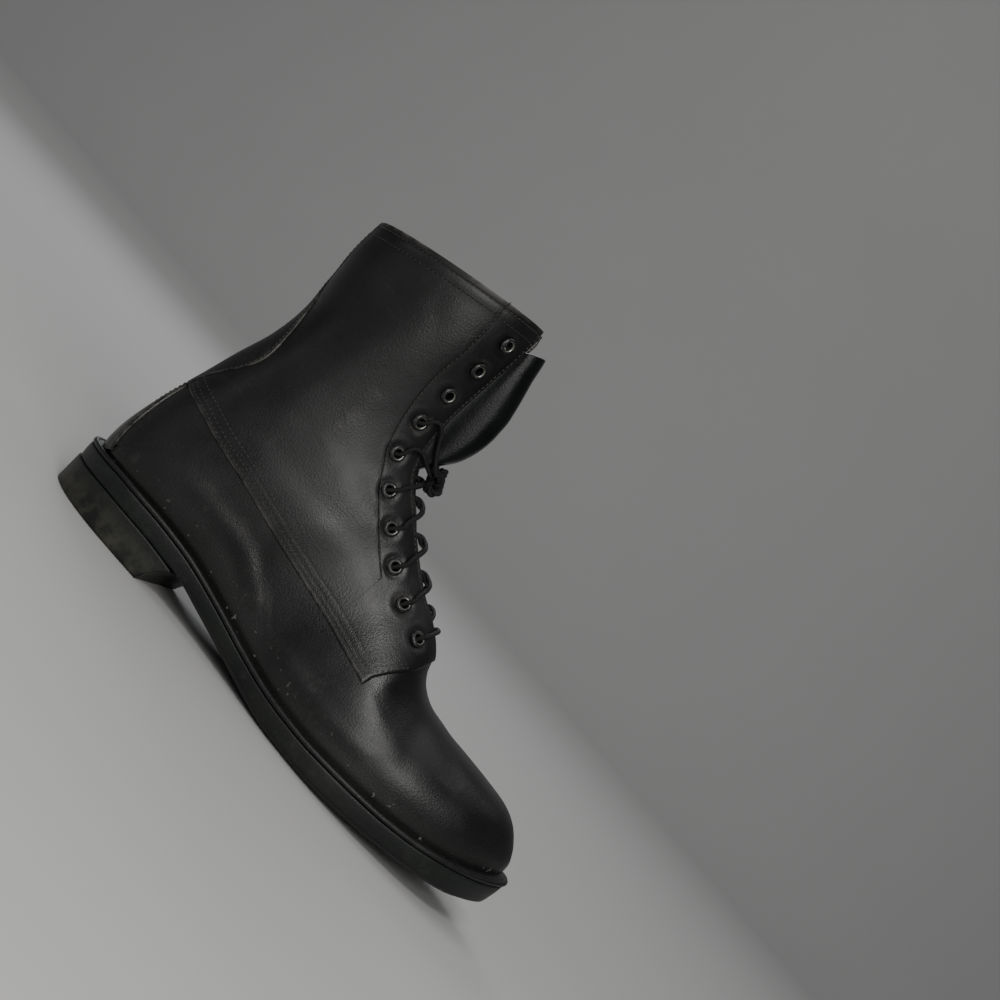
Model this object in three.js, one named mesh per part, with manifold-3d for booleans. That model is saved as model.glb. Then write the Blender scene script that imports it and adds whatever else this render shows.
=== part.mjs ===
// Right-foot combat boot in black leather on a rubber sole, standing empty on its sole.
// Millimetres, +Z up, +X to the toe, +Y to the inner (medial) side of the foot.
// The design frame starts at the back of the sole, and the finished group is centred over the sole.
import * as THREE from 'three';
import { mergeVertices } from 'three/addons/utils/BufferGeometryUtils.js';
import Module from 'manifold-3d';

const wasm = await Module();
wasm.setup();

// Driving sizes
const SOLE_LENGTH = 308;
const BALL_WIDTH = 107;
const HEEL_WIDTH = 74.5;
const COLLAR_HEIGHT = 232;
const SEAT_HEIGHT = 30;
const WALL = 2.0;
const QUARTER_STEP = 1.2;
const BACKSTAY_STEP = 2.4;
const WELT_THICKNESS = 2.8;
const WELT_WIDTH = 13;
const WELT_LIP = 0.7;
const SOLE_EDGE_ROUND = 3.4;
const SOLE_EDGE_WIDTH = 8;
const SOLE_SIDE_TAPER = 1.2;
const INSOLE_THICKNESS = 2.6;
const GAP = 0.3;
const FEATHER_DROP = 8;
const COLLAR_SLOPE = 0.27;

// Tread grooves under the ball and the heel
const GROOVE_WIDTH = 3.2;
const GROOVE_DEPTH = 1.8;
const GROOVE_PITCH = 12;
const GROOVE_RAKE = 7;
const BALL_GROOVES = { first: 0.52, count: 9, halfWidth: 34 };
const HEEL_GROOVES = { first: 0.07, count: 4, halfWidth: 25 };

// Throat, tongue, eyelets and lace
const THROAT_HALF_TOP = 14;
const THROAT_HALF_FOOT = 10;
const THROAT_START_ROW = 10.4;
const TONGUE_WALL = 2.2;
const TONGUE_CLEARANCE = 1.1;
const TONGUE_GAP = 1.5;
const TONGUE_START_ROW = 9.4;
const TONGUE_END_ROW = 24.7;
const EYELET_COUNT = 10;
const EYELET_PITCH = 19.3;
const EYELET_FROM_COLLAR = 17.5;
const EYELET_SETBACK = 16.4;
const EYELET_FLANGE_RADIUS = 4.4;
const EYELET_HOLE_RADIUS = 2.3;
const EYELET_BARREL_WALL = 0.5;
const EYELET_FLANGE_HEIGHT = 0.9;
const EYELET_SIDES = 8;
const LACE_RADIUS = 1.15;
const LACE_SIDES = 8;
const KNOT_EYELET = 5;
const KNOT_ROW = 17.45;

// Mesh fineness
const OUTER_AROUND = 30;
const INNER_AROUND = 24;
const STATIONS = 22;
const OUTLINE_SAMPLES = 240;

// Plan outline of the sole: place along the length and half widths, as shares of the sizes named.
// side is -1 on the outer (lateral) side and +1 on the inner (medial) side.
const SOLE_OUTLINE = [
  { along: 0.0, side: -1, half: 0.0, of: HEEL_WIDTH },
  { along: 0.012, side: -1, half: 0.4, of: HEEL_WIDTH },
  { along: 0.05, side: -1, half: 0.79, of: HEEL_WIDTH },
  { along: 0.11, side: -1, half: 0.98, of: HEEL_WIDTH },
  { along: 0.17, side: -1, half: 1.0, of: HEEL_WIDTH },
  { along: 0.245, side: -1, half: 0.965, of: HEEL_WIDTH },
  { along: 0.33, side: -1, half: 0.655, of: BALL_WIDTH },
  { along: 0.415, side: -1, half: 0.72, of: BALL_WIDTH },
  { along: 0.49, side: -1, half: 0.83, of: BALL_WIDTH },
  { along: 0.56, side: -1, half: 0.938, of: BALL_WIDTH },
  { along: 0.625, side: -1, half: 0.995, of: BALL_WIDTH },
  { along: 0.69, side: -1, half: 0.99, of: BALL_WIDTH },
  { along: 0.755, side: -1, half: 0.935, of: BALL_WIDTH },
  { along: 0.82, side: -1, half: 0.83, of: BALL_WIDTH },
  { along: 0.88, side: -1, half: 0.69, of: BALL_WIDTH },
  { along: 0.93, side: -1, half: 0.5, of: BALL_WIDTH },
  { along: 0.969, side: -1, half: 0.26, of: BALL_WIDTH },
  { along: 0.992, side: -1, half: 0.03, of: BALL_WIDTH },
  { along: 1.0, side: 1, half: 0.2, of: BALL_WIDTH },
  { along: 0.995, side: 1, half: 0.42, of: BALL_WIDTH },
  { along: 0.975, side: 1, half: 0.63, of: BALL_WIDTH },
  { along: 0.94, side: 1, half: 0.77, of: BALL_WIDTH },
  { along: 0.9, side: 1, half: 0.85, of: BALL_WIDTH },
  { along: 0.85, side: 1, half: 0.925, of: BALL_WIDTH },
  { along: 0.79, side: 1, half: 0.98, of: BALL_WIDTH },
  { along: 0.73, side: 1, half: 1.0, of: BALL_WIDTH },
  { along: 0.68, side: 1, half: 0.97, of: BALL_WIDTH },
  { along: 0.62, side: 1, half: 0.89, of: BALL_WIDTH },
  { along: 0.56, side: 1, half: 0.775, of: BALL_WIDTH },
  { along: 0.5, side: 1, half: 0.65, of: BALL_WIDTH },
  { along: 0.43, side: 1, half: 0.555, of: BALL_WIDTH },
  { along: 0.36, side: 1, half: 0.535, of: BALL_WIDTH },
  { along: 0.29, side: 1, half: 0.825, of: HEEL_WIDTH },
  { along: 0.22, side: 1, half: 0.915, of: HEEL_WIDTH },
  { along: 0.16, side: 1, half: 0.965, of: HEEL_WIDTH },
  { along: 0.1, side: 1, half: 0.945, of: HEEL_WIDTH },
  { along: 0.05, side: 1, half: 0.77, of: HEEL_WIDTH },
  { along: 0.012, side: 1, half: 0.4, of: HEEL_WIDTH },
];

// Height of the welt's top and of the sole's underside, as shares of SEAT_HEIGHT along the sole.
const WELT_TOP = [
  { along: 0.0, height: 0.92 },
  { along: 0.04, height: 0.965 },
  { along: 0.11, height: 1.005 },
  { along: 0.17, height: 1.005 },
  { along: 0.22, height: 0.985 },
  { along: 0.265, height: 0.94 },
  { along: 0.34, height: 0.8 },
  { along: 0.43, height: 0.62 },
  { along: 0.5, height: 0.53 },
  { along: 0.58, height: 0.513 },
  { along: 0.65, height: 0.55 },
  { along: 0.71, height: 0.593 },
  { along: 0.775, height: 0.655 },
  { along: 0.836, height: 0.75 },
  { along: 0.9, height: 0.9 },
  { along: 0.95, height: 1.035 },
  { along: 1.0, height: 1.2 },
];
const SOLE_UNDERSIDE = [
  { along: 0.0, height: 0.517 },
  { along: 0.08, height: 0.583 },
  { along: 0.17, height: 0.593 },
  { along: 0.24, height: 0.55 },
  { along: 0.285, height: 0.483 },
  { along: 0.32, height: 0.4 },
  { along: 0.37, height: 0.29 },
  { along: 0.42, height: 0.185 },
  { along: 0.47, height: 0.09 },
  { along: 0.515, height: 0.02 },
  { along: 0.54, height: 0.0 },
  { along: 0.63, height: 0.0 },
  { along: 0.67, height: 0.02 },
  { along: 0.71, height: 0.06 },
  { along: 0.775, height: 0.133 },
  { along: 0.836, height: 0.217 },
  { along: 0.9, height: 0.315 },
  { along: 0.95, height: 0.405 },
  { along: 1.0, height: 0.567 },
];

// How far the upper's foot stands in from the sole's edge, along the sole, in millimetres.
const FEATHER_INSET = [
  { along: 0.0, height: 4.6 },
  { along: 0.06, height: 3.4 },
  { along: 0.15, height: 3.2 },
  { along: 0.3, height: 4.6 },
  { along: 0.5, height: 5.2 },
  { along: 0.8, height: 5.0 },
  { along: 1.0, height: 5.8 },
];

// The heel block's front face: where it stands on each side, and how far its foot sits back.
const HEEL_BREAST = { lateral: 0.256, medial: 0.3, rake: 10, taper: 1.2 };

// Sections of the upper, toe to collar. Each lies in a plane from a front point to a back point in
// the side view, given as shares of SOLE_LENGTH and COLLAR_HEIGHT. A back height of null follows the
// welt. centre and half widths are shares of BALL_WIDTH / 2 and HEEL_WIDTH / 2, and a half width of
// null follows the feather line. wide is where the section is widest, from back to front, and the
// last two are the exponents of its rounding to the front and to the back.
const UPPER_COLUMNS = [
  'frontAlong', 'frontHeight', 'backAlong', 'backHeight', 'centre', 'half', 'wide', 'frontRound', 'backRound',
];
const UPPER_SECTIONS = [
  [0.982, 0.157, 0.982, null, 0.2, null, 0.5, 2.2, 6.0],
  [0.980, 0.179, 0.980, null, 0.195, null, 0.48, 2.2, 6.0],
  [0.972, 0.198, 0.972, null, 0.18, null, 0.45, 2.2, 6.0],
  [0.956, 0.224, 0.956, null, 0.16, null, 0.42, 2.2, 6.0],
  [0.932, 0.248, 0.932, null, 0.14, null, 0.4, 2.25, 6.0],
  [0.899, 0.263, 0.896, null, 0.12, null, 0.38, 2.25, 6.0],
  [0.847, 0.269, 0.838, null, 0.1, null, 0.36, 2.2, 6.0],
  [0.782, 0.272, 0.763, null, 0.08, null, 0.35, 2.15, 6.0],
  [0.721, 0.278, 0.695, null, 0.06, null, 0.34, 2.1, 6.0],
  [0.675, 0.295, 0.636, null, 0.045, null, 0.33, 2.1, 6.0],
  [0.649, 0.325, 0.584, null, 0.03, null, 0.32, 2.1, 6.0],
  [0.631, 0.371, 0.532, null, 0.02, null, 0.31, 2.15, 6.0],
  [0.594, 0.411, 0.468, null, 0.01, null, 0.3, 2.2, 6.0],
  [0.549, 0.446, 0.390, null, 0.0, null, 0.31, 2.25, 6.0],
  [0.497, 0.496, 0.295, null, 0.0, null, 0.33, 2.3, 6.0],
  [0.451, 0.541, 0.195, null, 0.0, null, 0.36, 2.3, 6.0],
  [0.419, 0.573, 0.104, null, 0.0, null, 0.4, 2.3, 6.0],
  [0.401, 0.597, 0.055, 0.095, 0.0, 0.97, 0.42, 2.3, 4.5],
  [0.389, 0.625, 0.026, 0.112, 0.0, 0.95, 0.43, 2.3, 3.2],
  [0.377, 0.672, 0.017, 0.181, 0.0, 0.93, 0.44, 2.3, 2.6],
  [0.369, 0.728, 0.024, 0.276, 0.0, 0.92, 0.45, 2.3, 2.4],
  [0.365, 0.780, 0.039, 0.379, 0.0, 0.93, 0.47, 2.3, 2.3],
  [0.363, 0.828, 0.051, 0.466, 0.0, 0.96, 0.48, 2.3, 2.2],
  [0.361, 0.875, 0.065, 0.552, 0.0, 1.0, 0.49, 2.3, 2.2],
  [0.360, 0.918, 0.068, 0.638, 0.0, 1.04, 0.5, 2.3, 2.2],
  [0.358, 0.955, 0.058, 0.724, 0.0, 1.08, 0.5, 2.3, 2.2],
  [0.356, 0.983, 0.047, 0.810, 0.0, 1.11, 0.5, 2.3, 2.2],
  [0.352, 1.001, 0.044, 0.891, 0.0, 1.13, 0.5, 2.3, 2.2],
  [0.349, 1.039, 0.043, 0.935, 0.0, 1.14, 0.5, 2.3, 2.2],
];
const COLLAR_ROW = UPPER_SECTIONS.length - 2;
const LAST_ROW = UPPER_SECTIONS.length - 1;

// Side view of the quarter's lower edge and front tab, back to front, as shares.
const QUARTER_EDGE = [
  { along: -0.1, height: 0.36 },
  { along: 0.016, height: 0.353 },
  { along: 0.057, height: 0.341 },
  { along: 0.094, height: 0.334 },
  { along: 0.154, height: 0.319 },
  { along: 0.217, height: 0.308 },
  { along: 0.279, height: 0.293 },
  { along: 0.342, height: 0.277 },
  { along: 0.404, height: 0.264 },
  { along: 0.466, height: 0.252 },
  { along: 0.542, height: 0.234 },
  { along: 0.575, height: 0.227 },
  { along: 0.589, height: 0.222 },
  { along: 0.592, height: 0.25 },
  { along: 0.605, height: 0.279 },
  { along: 0.617, height: 0.3 },
  { along: 0.628, height: 0.318 },
  { along: 0.636, height: 0.346 },
  { along: 0.66, height: 0.41 },
];

// Side view of the backstay's front edge, collar to sole, as shares.
const BACKSTAY_EDGE = [
  { along: 0.047, height: 0.892 },
  { along: 0.049, height: 0.81 },
  { along: 0.058, height: 0.732 },
  { along: 0.077, height: 0.652 },
  { along: 0.091, height: 0.582 },
  { along: 0.097, height: 0.523 },
  { along: 0.086, height: 0.468 },
  { along: 0.066, height: 0.423 },
  { along: 0.051, height: 0.389 },
  { along: 0.034, height: 0.315 },
  { along: 0.03, height: 0.227 },
  { along: 0.038, height: 0.152 },
  { along: 0.052, height: 0.11 },
];

// How far the tongue's ridge stands out of the throat (negative: sunk into it), by section row.
const TONGUE_RIDGE = [
  { along: 9.0, height: -8.0 },
  { along: 10.6, height: -6.5 },
  { along: 12.0, height: -5.6 },
  { along: 16.0, height: -5.4 },
  { along: 17.5, height: -6.4 },
  { along: 17.8, height: 0.6 },
  { along: 18.1, height: 12.0 },
  { along: 18.5, height: 18.5 },
  { along: 19.1, height: 23.0 },
  { along: 20.0, height: 24.0 },
  { along: 21.0, height: 21.5 },
  { along: 22.0, height: 18.0 },
  { along: 23.0, height: 14.5 },
  { along: 24.0, height: 11.5 },
  { along: 25.0, height: 9.0 },
];
const TONGUE_HALF_TOP = 24;
const TONGUE_HALF_FOOT = 13;

// The lace from the fifth and fourth eyelets to the knot: chosen points on the outer side, from the
// back of the sole. The inner side mirrors them.
const LOW_TIE = [
  [110.0, -23.8, 144.4],
  [112.2, -21.8, 146.2],
  [114.9, -18.8, 146.4],
  [118.9, -14.7, 144.6],
  [122.4, -10.6, 143.0],
  [125.2, -7.3, 141.9],
];
const HIGH_TIE = [
  [106.7, -24.1, 161.3],
  [108.9, -22.4, 162.6],
  [111.7, -19.8, 161.4],
  [115.4, -16.9, 156.6],
  [119.8, -15.3, 150.8],
  [124.0, -13.2, 146.2],
  [126.8, -9.0, 143.8],
];
const KNOT_CENTRE = [128.0, 0, 142.5];
const KNOT_RADII = [5.2, 7.5, 5.6];

// Colours and finish
const LEATHER = { color: 0x17161a, roughness: 0.42, metalness: 0.0 };
const TONGUE_LEATHER = { color: 0x101113, roughness: 0.28, metalness: 0.0 };
const RUBBER = { color: 0x22231f, roughness: 0.75, metalness: 0.0 };
const WELT_RUBBER = { color: 0x2a2a26, roughness: 0.6, metalness: 0.0 };
const BOARD = { color: 0x3b332a, roughness: 0.85, metalness: 0.0 };
const EYELET_METAL = { color: 0x55554f, roughness: 0.4, metalness: 0.8 };
const LACE_CORD = { color: 0x0d0d0e, roughness: 0.6, metalness: 0.0 };

// Small numeric helpers
const clamp = THREE.MathUtils.clamp;
const lerp = THREE.MathUtils.lerp;

function catmull(a, b, c, d, t) {
  const v0 = (c - a) / 2;
  const v1 = (d - b) / 2;
  return b + v0 * t + (3 * (c - b) - 2 * v0 - v1) * t * t + (2 * (b - c) + v0 + v1) * t * t * t;
}

// A smooth function through the rows of a two-column table.
function profile(rows, alongScale, heightScale) {
  const steepness = (a, b) => (b.height - a.height) / (b.along - a.along);
  const slope = (i) => {
    if (i === 0) return steepness(rows[0], rows[1]);
    if (i === rows.length - 1) return steepness(rows[i - 1], rows[i]);
    const before = steepness(rows[i - 1], rows[i]);
    const after = steepness(rows[i], rows[i + 1]);
    return before * after <= 0 ? 0 : (before + after) / 2;
  };
  return (place) => {
    const x = place / alongScale;
    if (x <= rows[0].along) return rows[0].height * heightScale;
    if (x >= rows.at(-1).along) return rows.at(-1).height * heightScale;
    const i = rows.findIndex((row) => row.along > x) - 1;
    const width = rows[i + 1].along - rows[i].along;
    const t = (x - rows[i].along) / width;
    const a = rows[i].height;
    const b = rows[i + 1].height;
    const h00 = (1 + 2 * t) * (1 - t) ** 2;
    const h10 = t * (1 - t) ** 2;
    const h01 = t * t * (3 - 2 * t);
    const h11 = t * t * (t - 1);
    return (h00 * a + h10 * width * slope(i) + h01 * b + h11 * width * slope(i + 1)) * heightScale;
  };
}

const weltTop = profile(WELT_TOP, SOLE_LENGTH, SEAT_HEIGHT);
const soleUnderside = profile(SOLE_UNDERSIDE, SOLE_LENGTH, SEAT_HEIGHT);
const featherInset = profile(FEATHER_INSET, SOLE_LENGTH, 1);
const tongueRidge = profile(TONGUE_RIDGE, 1, 1);
const collarHeightAt = (x) => COLLAR_HEIGHT + COLLAR_SLOPE * (x - UPPER_SECTIONS[COLLAR_ROW][0] * SOLE_LENGTH);

// Solids from rings, and booleans
function signedVolume(positions, index) {
  let sum = 0;
  const a = new THREE.Vector3();
  const b = new THREE.Vector3();
  const c = new THREE.Vector3();
  for (let i = 0; i < index.length; i += 3) {
    a.fromArray(positions, index[i] * 3);
    b.fromArray(positions, index[i + 1] * 3);
    c.fromArray(positions, index[i + 2] * 3);
    sum += a.dot(b.cross(c));
  }
  return sum / 6;
}

// A closed body through closed rings of the same number of points, with both ends filled.
function loft(rings) {
  const count = rings[0].length;
  const positions = rings.flat().flatMap((p) => [p.x, p.y, p.z]);
  const index = [];
  for (let r = 0; r < rings.length - 1; r += 1) {
    for (let i = 0; i < count; i += 1) {
      const a = r * count + i;
      const b = r * count + ((i + 1) % count);
      index.push(a, b, a + count, b, b + count, a + count);
    }
  }
  const ends = [[rings[0], 0, true], [rings.at(-1), (rings.length - 1) * count, false]];
  for (const [ring, start, flip] of ends) {
    const middle = ring.reduce((sum, p) => sum.add(p), new THREE.Vector3()).divideScalar(count);
    const centre = positions.length / 3;
    positions.push(middle.x, middle.y, middle.z);
    for (let i = 0; i < count; i += 1) {
      const a = start + i;
      const b = start + ((i + 1) % count);
      index.push(...(flip ? [b, a, centre] : [a, b, centre]));
    }
  }
  if (signedVolume(positions, index) < 0) index.reverse();
  const geometry = new THREE.BufferGeometry();
  geometry.setAttribute('position', new THREE.Float32BufferAttribute(positions, 3));
  geometry.setIndex(index);
  return geometry;
}

function toSolid(geometry) {
  const plain = geometry.clone();
  plain.deleteAttribute('normal');
  plain.deleteAttribute('uv');
  const merged = mergeVertices(plain, 1e-4);
  return new wasm.Manifold(new wasm.Mesh({
    numProp: 3,
    vertProperties: new Float32Array(merged.attributes.position.array),
    triVerts: new Uint32Array(merged.index.array),
  }));
}

function toGeometry(solid) {
  const mesh = solid.getMesh();
  const geometry = new THREE.BufferGeometry();
  geometry.setAttribute('position', new THREE.BufferAttribute(new Float32Array(mesh.vertProperties), 3));
  geometry.setIndex(new THREE.BufferAttribute(new Uint32Array(mesh.triVerts), 1));
  geometry.computeVertexNormals();
  return geometry;
}

// A solid that fills a side-view outline right across the boot.
function sidePrism(points) {
  const shape = new THREE.Shape(points.map((p) => new THREE.Vector2(p.x, p.z)));
  const geometry = new THREE.ExtrudeGeometry(shape, { depth: 2 * BALL_WIDTH, bevelEnabled: false });
  geometry.rotateX(Math.PI / 2);
  geometry.translate(0, BALL_WIDTH, 0);
  return toSolid(geometry);
}

// Plan outline of the sole, sampled, with its inward direction
const outlineCurve = new THREE.CatmullRomCurve3(
  SOLE_OUTLINE.map((p) => new THREE.Vector3(p.along * SOLE_LENGTH, p.side * p.half * p.of / 2, 0)),
  true,
  'centripetal',
);
const outlinePoints = outlineCurve.getPoints(OUTLINE_SAMPLES).slice(0, -1);

function insetOutline(insetAt) {
  const count = outlinePoints.length;
  return outlinePoints.map((p, i) => {
    const before = outlinePoints[(i + count - 1) % count];
    const after = outlinePoints[(i + 1) % count];
    const along = new THREE.Vector3().subVectors(after, before).normalize();
    const inward = new THREE.Vector3(-along.y, along.x, 0);
    return p.clone().addScaledVector(inward, insetAt(p.x));
  });
}

// The y of an outline on one side at a station x.
function outlineReader(points) {
  const xs = points.map((p) => p.x);
  const start = Math.min(...xs);
  const end = Math.max(...xs);
  const at = (x, side) => {
    let best = null;
    for (let i = 0; i < points.length; i += 1) {
      const p = points[i];
      const q = points[(i + 1) % points.length];
      if ((p.x - x) * (q.x - x) > 0 || p.x === q.x) continue;
      const y = p.y + (q.y - p.y) * (x - p.x) / (q.x - p.x);
      if (best === null || side * y > side * best) best = y;
    }
    return best ?? points[xs.indexOf(x < start ? start : end)].y;
  };
  return { start, end, at };
}

const soleEdge = outlineReader(outlinePoints);
const featherEdge = outlineReader(insetOutline(featherInset));

// Stations that crowd towards both rounded ends of an outline.
function stationsOf(edge, count, endGap) {
  const length = edge.end - edge.start;
  return Array.from({ length: count }, (_, i) => {
    const share = (1 - Math.cos(Math.PI * i / (count - 1))) / 2;
    const eased = lerp(i / (count - 1), share, 0.75);
    return edge.start + clamp(eased * length, endGap, length - endGap);
  });
}

// A plate between two heights within an outline.
function plate(insetBy, bottomAt, topAt, stationCount = STATIONS) {
  const edge = outlineReader(insetOutline(() => insetBy));
  return loft(stationsOf(edge, stationCount, 0.25).map((x) => {
    const lateral = edge.at(x, -1);
    const medial = edge.at(x, 1);
    return [
      new THREE.Vector3(x, lateral, topAt(x)),
      new THREE.Vector3(x, medial, topAt(x)),
      new THREE.Vector3(x, medial, bottomAt(x)),
      new THREE.Vector3(x, lateral, bottomAt(x)),
    ];
  }));
}

function treadGrooves({ first, count, halfWidth }, undersideAt) {
  return Array.from({ length: count }, (_, i) => {
    const x = first * SOLE_LENGTH + i * GROOVE_PITCH;
    const z = undersideAt(x);
    const chevron = new THREE.Shape([
      new THREE.Vector2(x, -halfWidth),
      new THREE.Vector2(x + GROOVE_RAKE, 0),
      new THREE.Vector2(x, halfWidth),
      new THREE.Vector2(x + GROOVE_WIDTH, halfWidth),
      new THREE.Vector2(x + GROOVE_WIDTH + GROOVE_RAKE, 0),
      new THREE.Vector2(x + GROOVE_WIDTH, -halfWidth),
    ]);
    const bar = new THREE.ExtrudeGeometry(chevron, { depth: 3 * GROOVE_DEPTH, bevelEnabled: false });
    bar.translate(0, 0, z - 2 * GROOVE_DEPTH);
    return toSolid(bar);
  });
}

// Outsole: flat-topped under the welt, rounded towards its lower edge
function makeOutsole() {
  const topAt = (x) => weltTop(x) - WELT_THICKNESS - GAP;
  const flatSpot = SOLE_UNDERSIDE.filter((row) => row.height === 0).map((row) => row.along * SOLE_LENGTH);
  const stations = [...stationsOf(soleEdge, STATIONS + 4, 0.25), ...flatSpot].sort((a, b) => a - b);
  const rings = stations.map((x) => {
    const lateral = soleEdge.at(x, -1);
    const medial = soleEdge.at(x, 1);
    const half = (medial - lateral) / 2;
    const taper = Math.min(SOLE_SIDE_TAPER, half * 0.3);
    const round = Math.min(SOLE_EDGE_WIDTH, half * 0.6);
    const under = soleUnderside(x);
    const top = topAt(x);
    const overHeel = THREE.MathUtils.smoothstep(x, 0.22 * SOLE_LENGTH, 0.33 * SOLE_LENGTH);
    const edgeLift = SOLE_EDGE_ROUND * overHeel;
    return [
      new THREE.Vector3(x, lateral, top),
      new THREE.Vector3(x, medial, top),
      new THREE.Vector3(x, medial - taper * 0.4, lerp(top, under + edgeLift, 0.55)),
      new THREE.Vector3(x, medial - taper, under + edgeLift),
      new THREE.Vector3(x, medial - taper - round * 0.4, under + edgeLift * 0.3),
      new THREE.Vector3(x, medial - taper - round, under),
      new THREE.Vector3(x, lateral + taper + round, under),
      new THREE.Vector3(x, lateral + taper + round * 0.4, under + edgeLift * 0.3),
      new THREE.Vector3(x, lateral + taper, under + edgeLift),
      new THREE.Vector3(x, lateral + taper * 0.4, lerp(top, under + edgeLift, 0.55)),
    ];
  });
  let solid = toSolid(loft(rings));
  for (const groove of treadGrooves(BALL_GROOVES, soleUnderside)) solid = solid.subtract(groove);
  return toGeometry(solid);
}

// Heel block: from the back of the sole to the slanted, raked breast
function makeHeel() {
  const steps = 12;
  const foot = (side) => SOLE_LENGTH * (side < 0 ? HEEL_BREAST.lateral : HEEL_BREAST.medial);
  const breastAt = (y, height) => {
    const across = clamp((y + HEEL_WIDTH / 2) / HEEL_WIDTH, 0, 1);
    const lean = HEEL_BREAST.rake * height ** 1.6;
    return lerp(foot(-1), foot(1), across) - HEEL_BREAST.rake + lean;
  };
  const topAt = (x) => soleUnderside(x) - GAP;
  const levels = [0, 0.08, 0.5, 1];
  const rings = Array.from({ length: steps + 1 }, (_, i) => {
    const share = clamp((1 - Math.cos(Math.PI * i / steps / 1.6)) / (1 - Math.cos(Math.PI / 1.6)), 0, 1);
    const cornerOf = (side, level) => {
      const inset = HEEL_BREAST.taper * (1 - level) + (level === 0 ? 0.8 : 0);
      const back = inset + 0.25;
      const breast = breastAt(side * HEEL_WIDTH * 0.46, level);
      const x = lerp(back, breast, share);
      const y = soleEdge.at(x - inset * (1 - share), side);
      const top = topAt(x);
      return new THREE.Vector3(x, y - side * Math.min(inset, Math.abs(y) * 0.5), level * top);
    };
    return [
      ...levels.map((level) => cornerOf(-1, level)),
      ...levels.toReversed().map((level) => cornerOf(1, level)),
    ];
  });
  let solid = toSolid(loft(rings));
  for (const groove of treadGrooves(HEEL_GROOVES, () => 0)) solid = solid.subtract(groove);
  return toGeometry(solid);
}

// Welt: a strip round the edge with a rounded lip
function makeWelt() {
  const bottomAt = (x) => weltTop(x) - WELT_THICKNESS;
  const lip = insetOutline(() => -WELT_LIP);
  const edge = outlineReader(lip);
  const rings = stationsOf(edge, STATIONS + 4, 0.25).map((x) => {
    const lateral = edge.at(x, -1);
    const medial = edge.at(x, 1);
    const round = Math.min(WELT_LIP, (medial - lateral) * 0.2);
    const low = bottomAt(x);
    const high = weltTop(x);
    return [
      new THREE.Vector3(x, lateral + round, high),
      new THREE.Vector3(x, medial - round, high),
      new THREE.Vector3(x, medial, lerp(low, high, 0.7)),
      new THREE.Vector3(x, medial, lerp(low, high, 0.35)),
      new THREE.Vector3(x, medial - round, low),
      new THREE.Vector3(x, lateral + round, low),
      new THREE.Vector3(x, lateral, lerp(low, high, 0.35)),
      new THREE.Vector3(x, lateral, lerp(low, high, 0.7)),
    ];
  });
  const inside = plate(WELT_WIDTH, (x) => bottomAt(x) - 2, (x) => weltTop(x) + 2, STATIONS);
  return toGeometry(toSolid(loft(rings)).subtract(toSolid(inside)));
}

// The upper's surface
const upperTable = UPPER_SECTIONS.map((values) => {
  const row = Object.fromEntries(UPPER_COLUMNS.map((name, i) => [name, values[i]]));
  const frontX = row.frontAlong * SOLE_LENGTH;
  const frontZ = row.frontHeight * COLLAR_HEIGHT;
  const backX = row.backAlong * SOLE_LENGTH;
  const backZ = row.backHeight === null ? weltTop(backX) - FEATHER_DROP : row.backHeight * COLLAR_HEIGHT;
  const centre = row.centre * BALL_WIDTH / 2;
  let lateral = row.half * HEEL_WIDTH / 2;
  let medial = lateral;
  if (row.half === null) {
    let share = 0;
    for (let i = 0; i < 6; i += 1) share = (weltTop(lerp(backX, frontX, share)) - backZ) / (frontZ - backZ);
    const x = lerp(backX, frontX, share);
    const low = clamp(1 - share / row.wide, 0, 1);
    const fullness = (1 - low ** row.backRound) ** (1 / row.backRound);
    lateral = Math.max(centre - featherEdge.at(x, -1), 3) / fullness;
    medial = Math.max(featherEdge.at(x, 1) - centre, 3) / fullness;
  }
  const { wide, frontRound, backRound } = row;
  return [frontX, frontZ, backX, backZ, centre, lateral, medial, wide, frontRound, backRound];
});

function sectionAt(place) {
  const at = clamp(place, 0, LAST_ROW);
  const i = Math.min(Math.floor(at), LAST_ROW - 1);
  const t = at - i;
  const rows = [i - 1, i, i + 1, i + 2].map((k) => upperTable[clamp(k, 0, LAST_ROW)]);
  const value = (column) => catmull(...rows.map((row) => row[column]), t);
  return {
    front: new THREE.Vector3(value(0), 0, value(1)),
    back: new THREE.Vector3(value(2), 0, value(3)),
    centre: value(4),
    lateral: value(5),
    medial: value(6),
    wide: value(7),
    frontRound: value(8),
    backRound: value(9),
  };
}

// Angle 0 is the front of a section, and positive angles run down the outer (lateral) side.
function surfacePoint(place, angle) {
  const s = sectionAt(place);
  const a = Math.cos(angle);
  const b = Math.sin(angle);
  const power = 2 / (a >= 0 ? s.frontRound : s.backRound);
  const reach = a >= 0 ? 1 - s.wide : -s.wide;
  const share = s.wide + reach * Math.abs(a) ** power;
  const point = new THREE.Vector3().lerpVectors(s.back, s.front, share);
  const half = b >= 0 ? s.lateral : s.medial;
  point.y = s.centre - Math.sign(b) * half * Math.abs(b) ** power;
  return point;
}

function surfaceNormal(place, angle) {
  const stepRow = 0.05;
  const stepAngle = 0.06;
  const low = clamp(place - stepRow, 0, LAST_ROW);
  const high = clamp(place + stepRow, 0, LAST_ROW);
  const alongRow = surfacePoint(high, angle).sub(surfacePoint(low, angle));
  const alongAngle = surfacePoint(place, angle + stepAngle).sub(surfacePoint(place, angle - stepAngle));
  return alongRow.cross(alongAngle).normalize();
}

function offsetPoint(place, angle, offset) {
  return surfacePoint(place, angle).addScaledVector(surfaceNormal(place, angle), offset);
}

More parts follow.
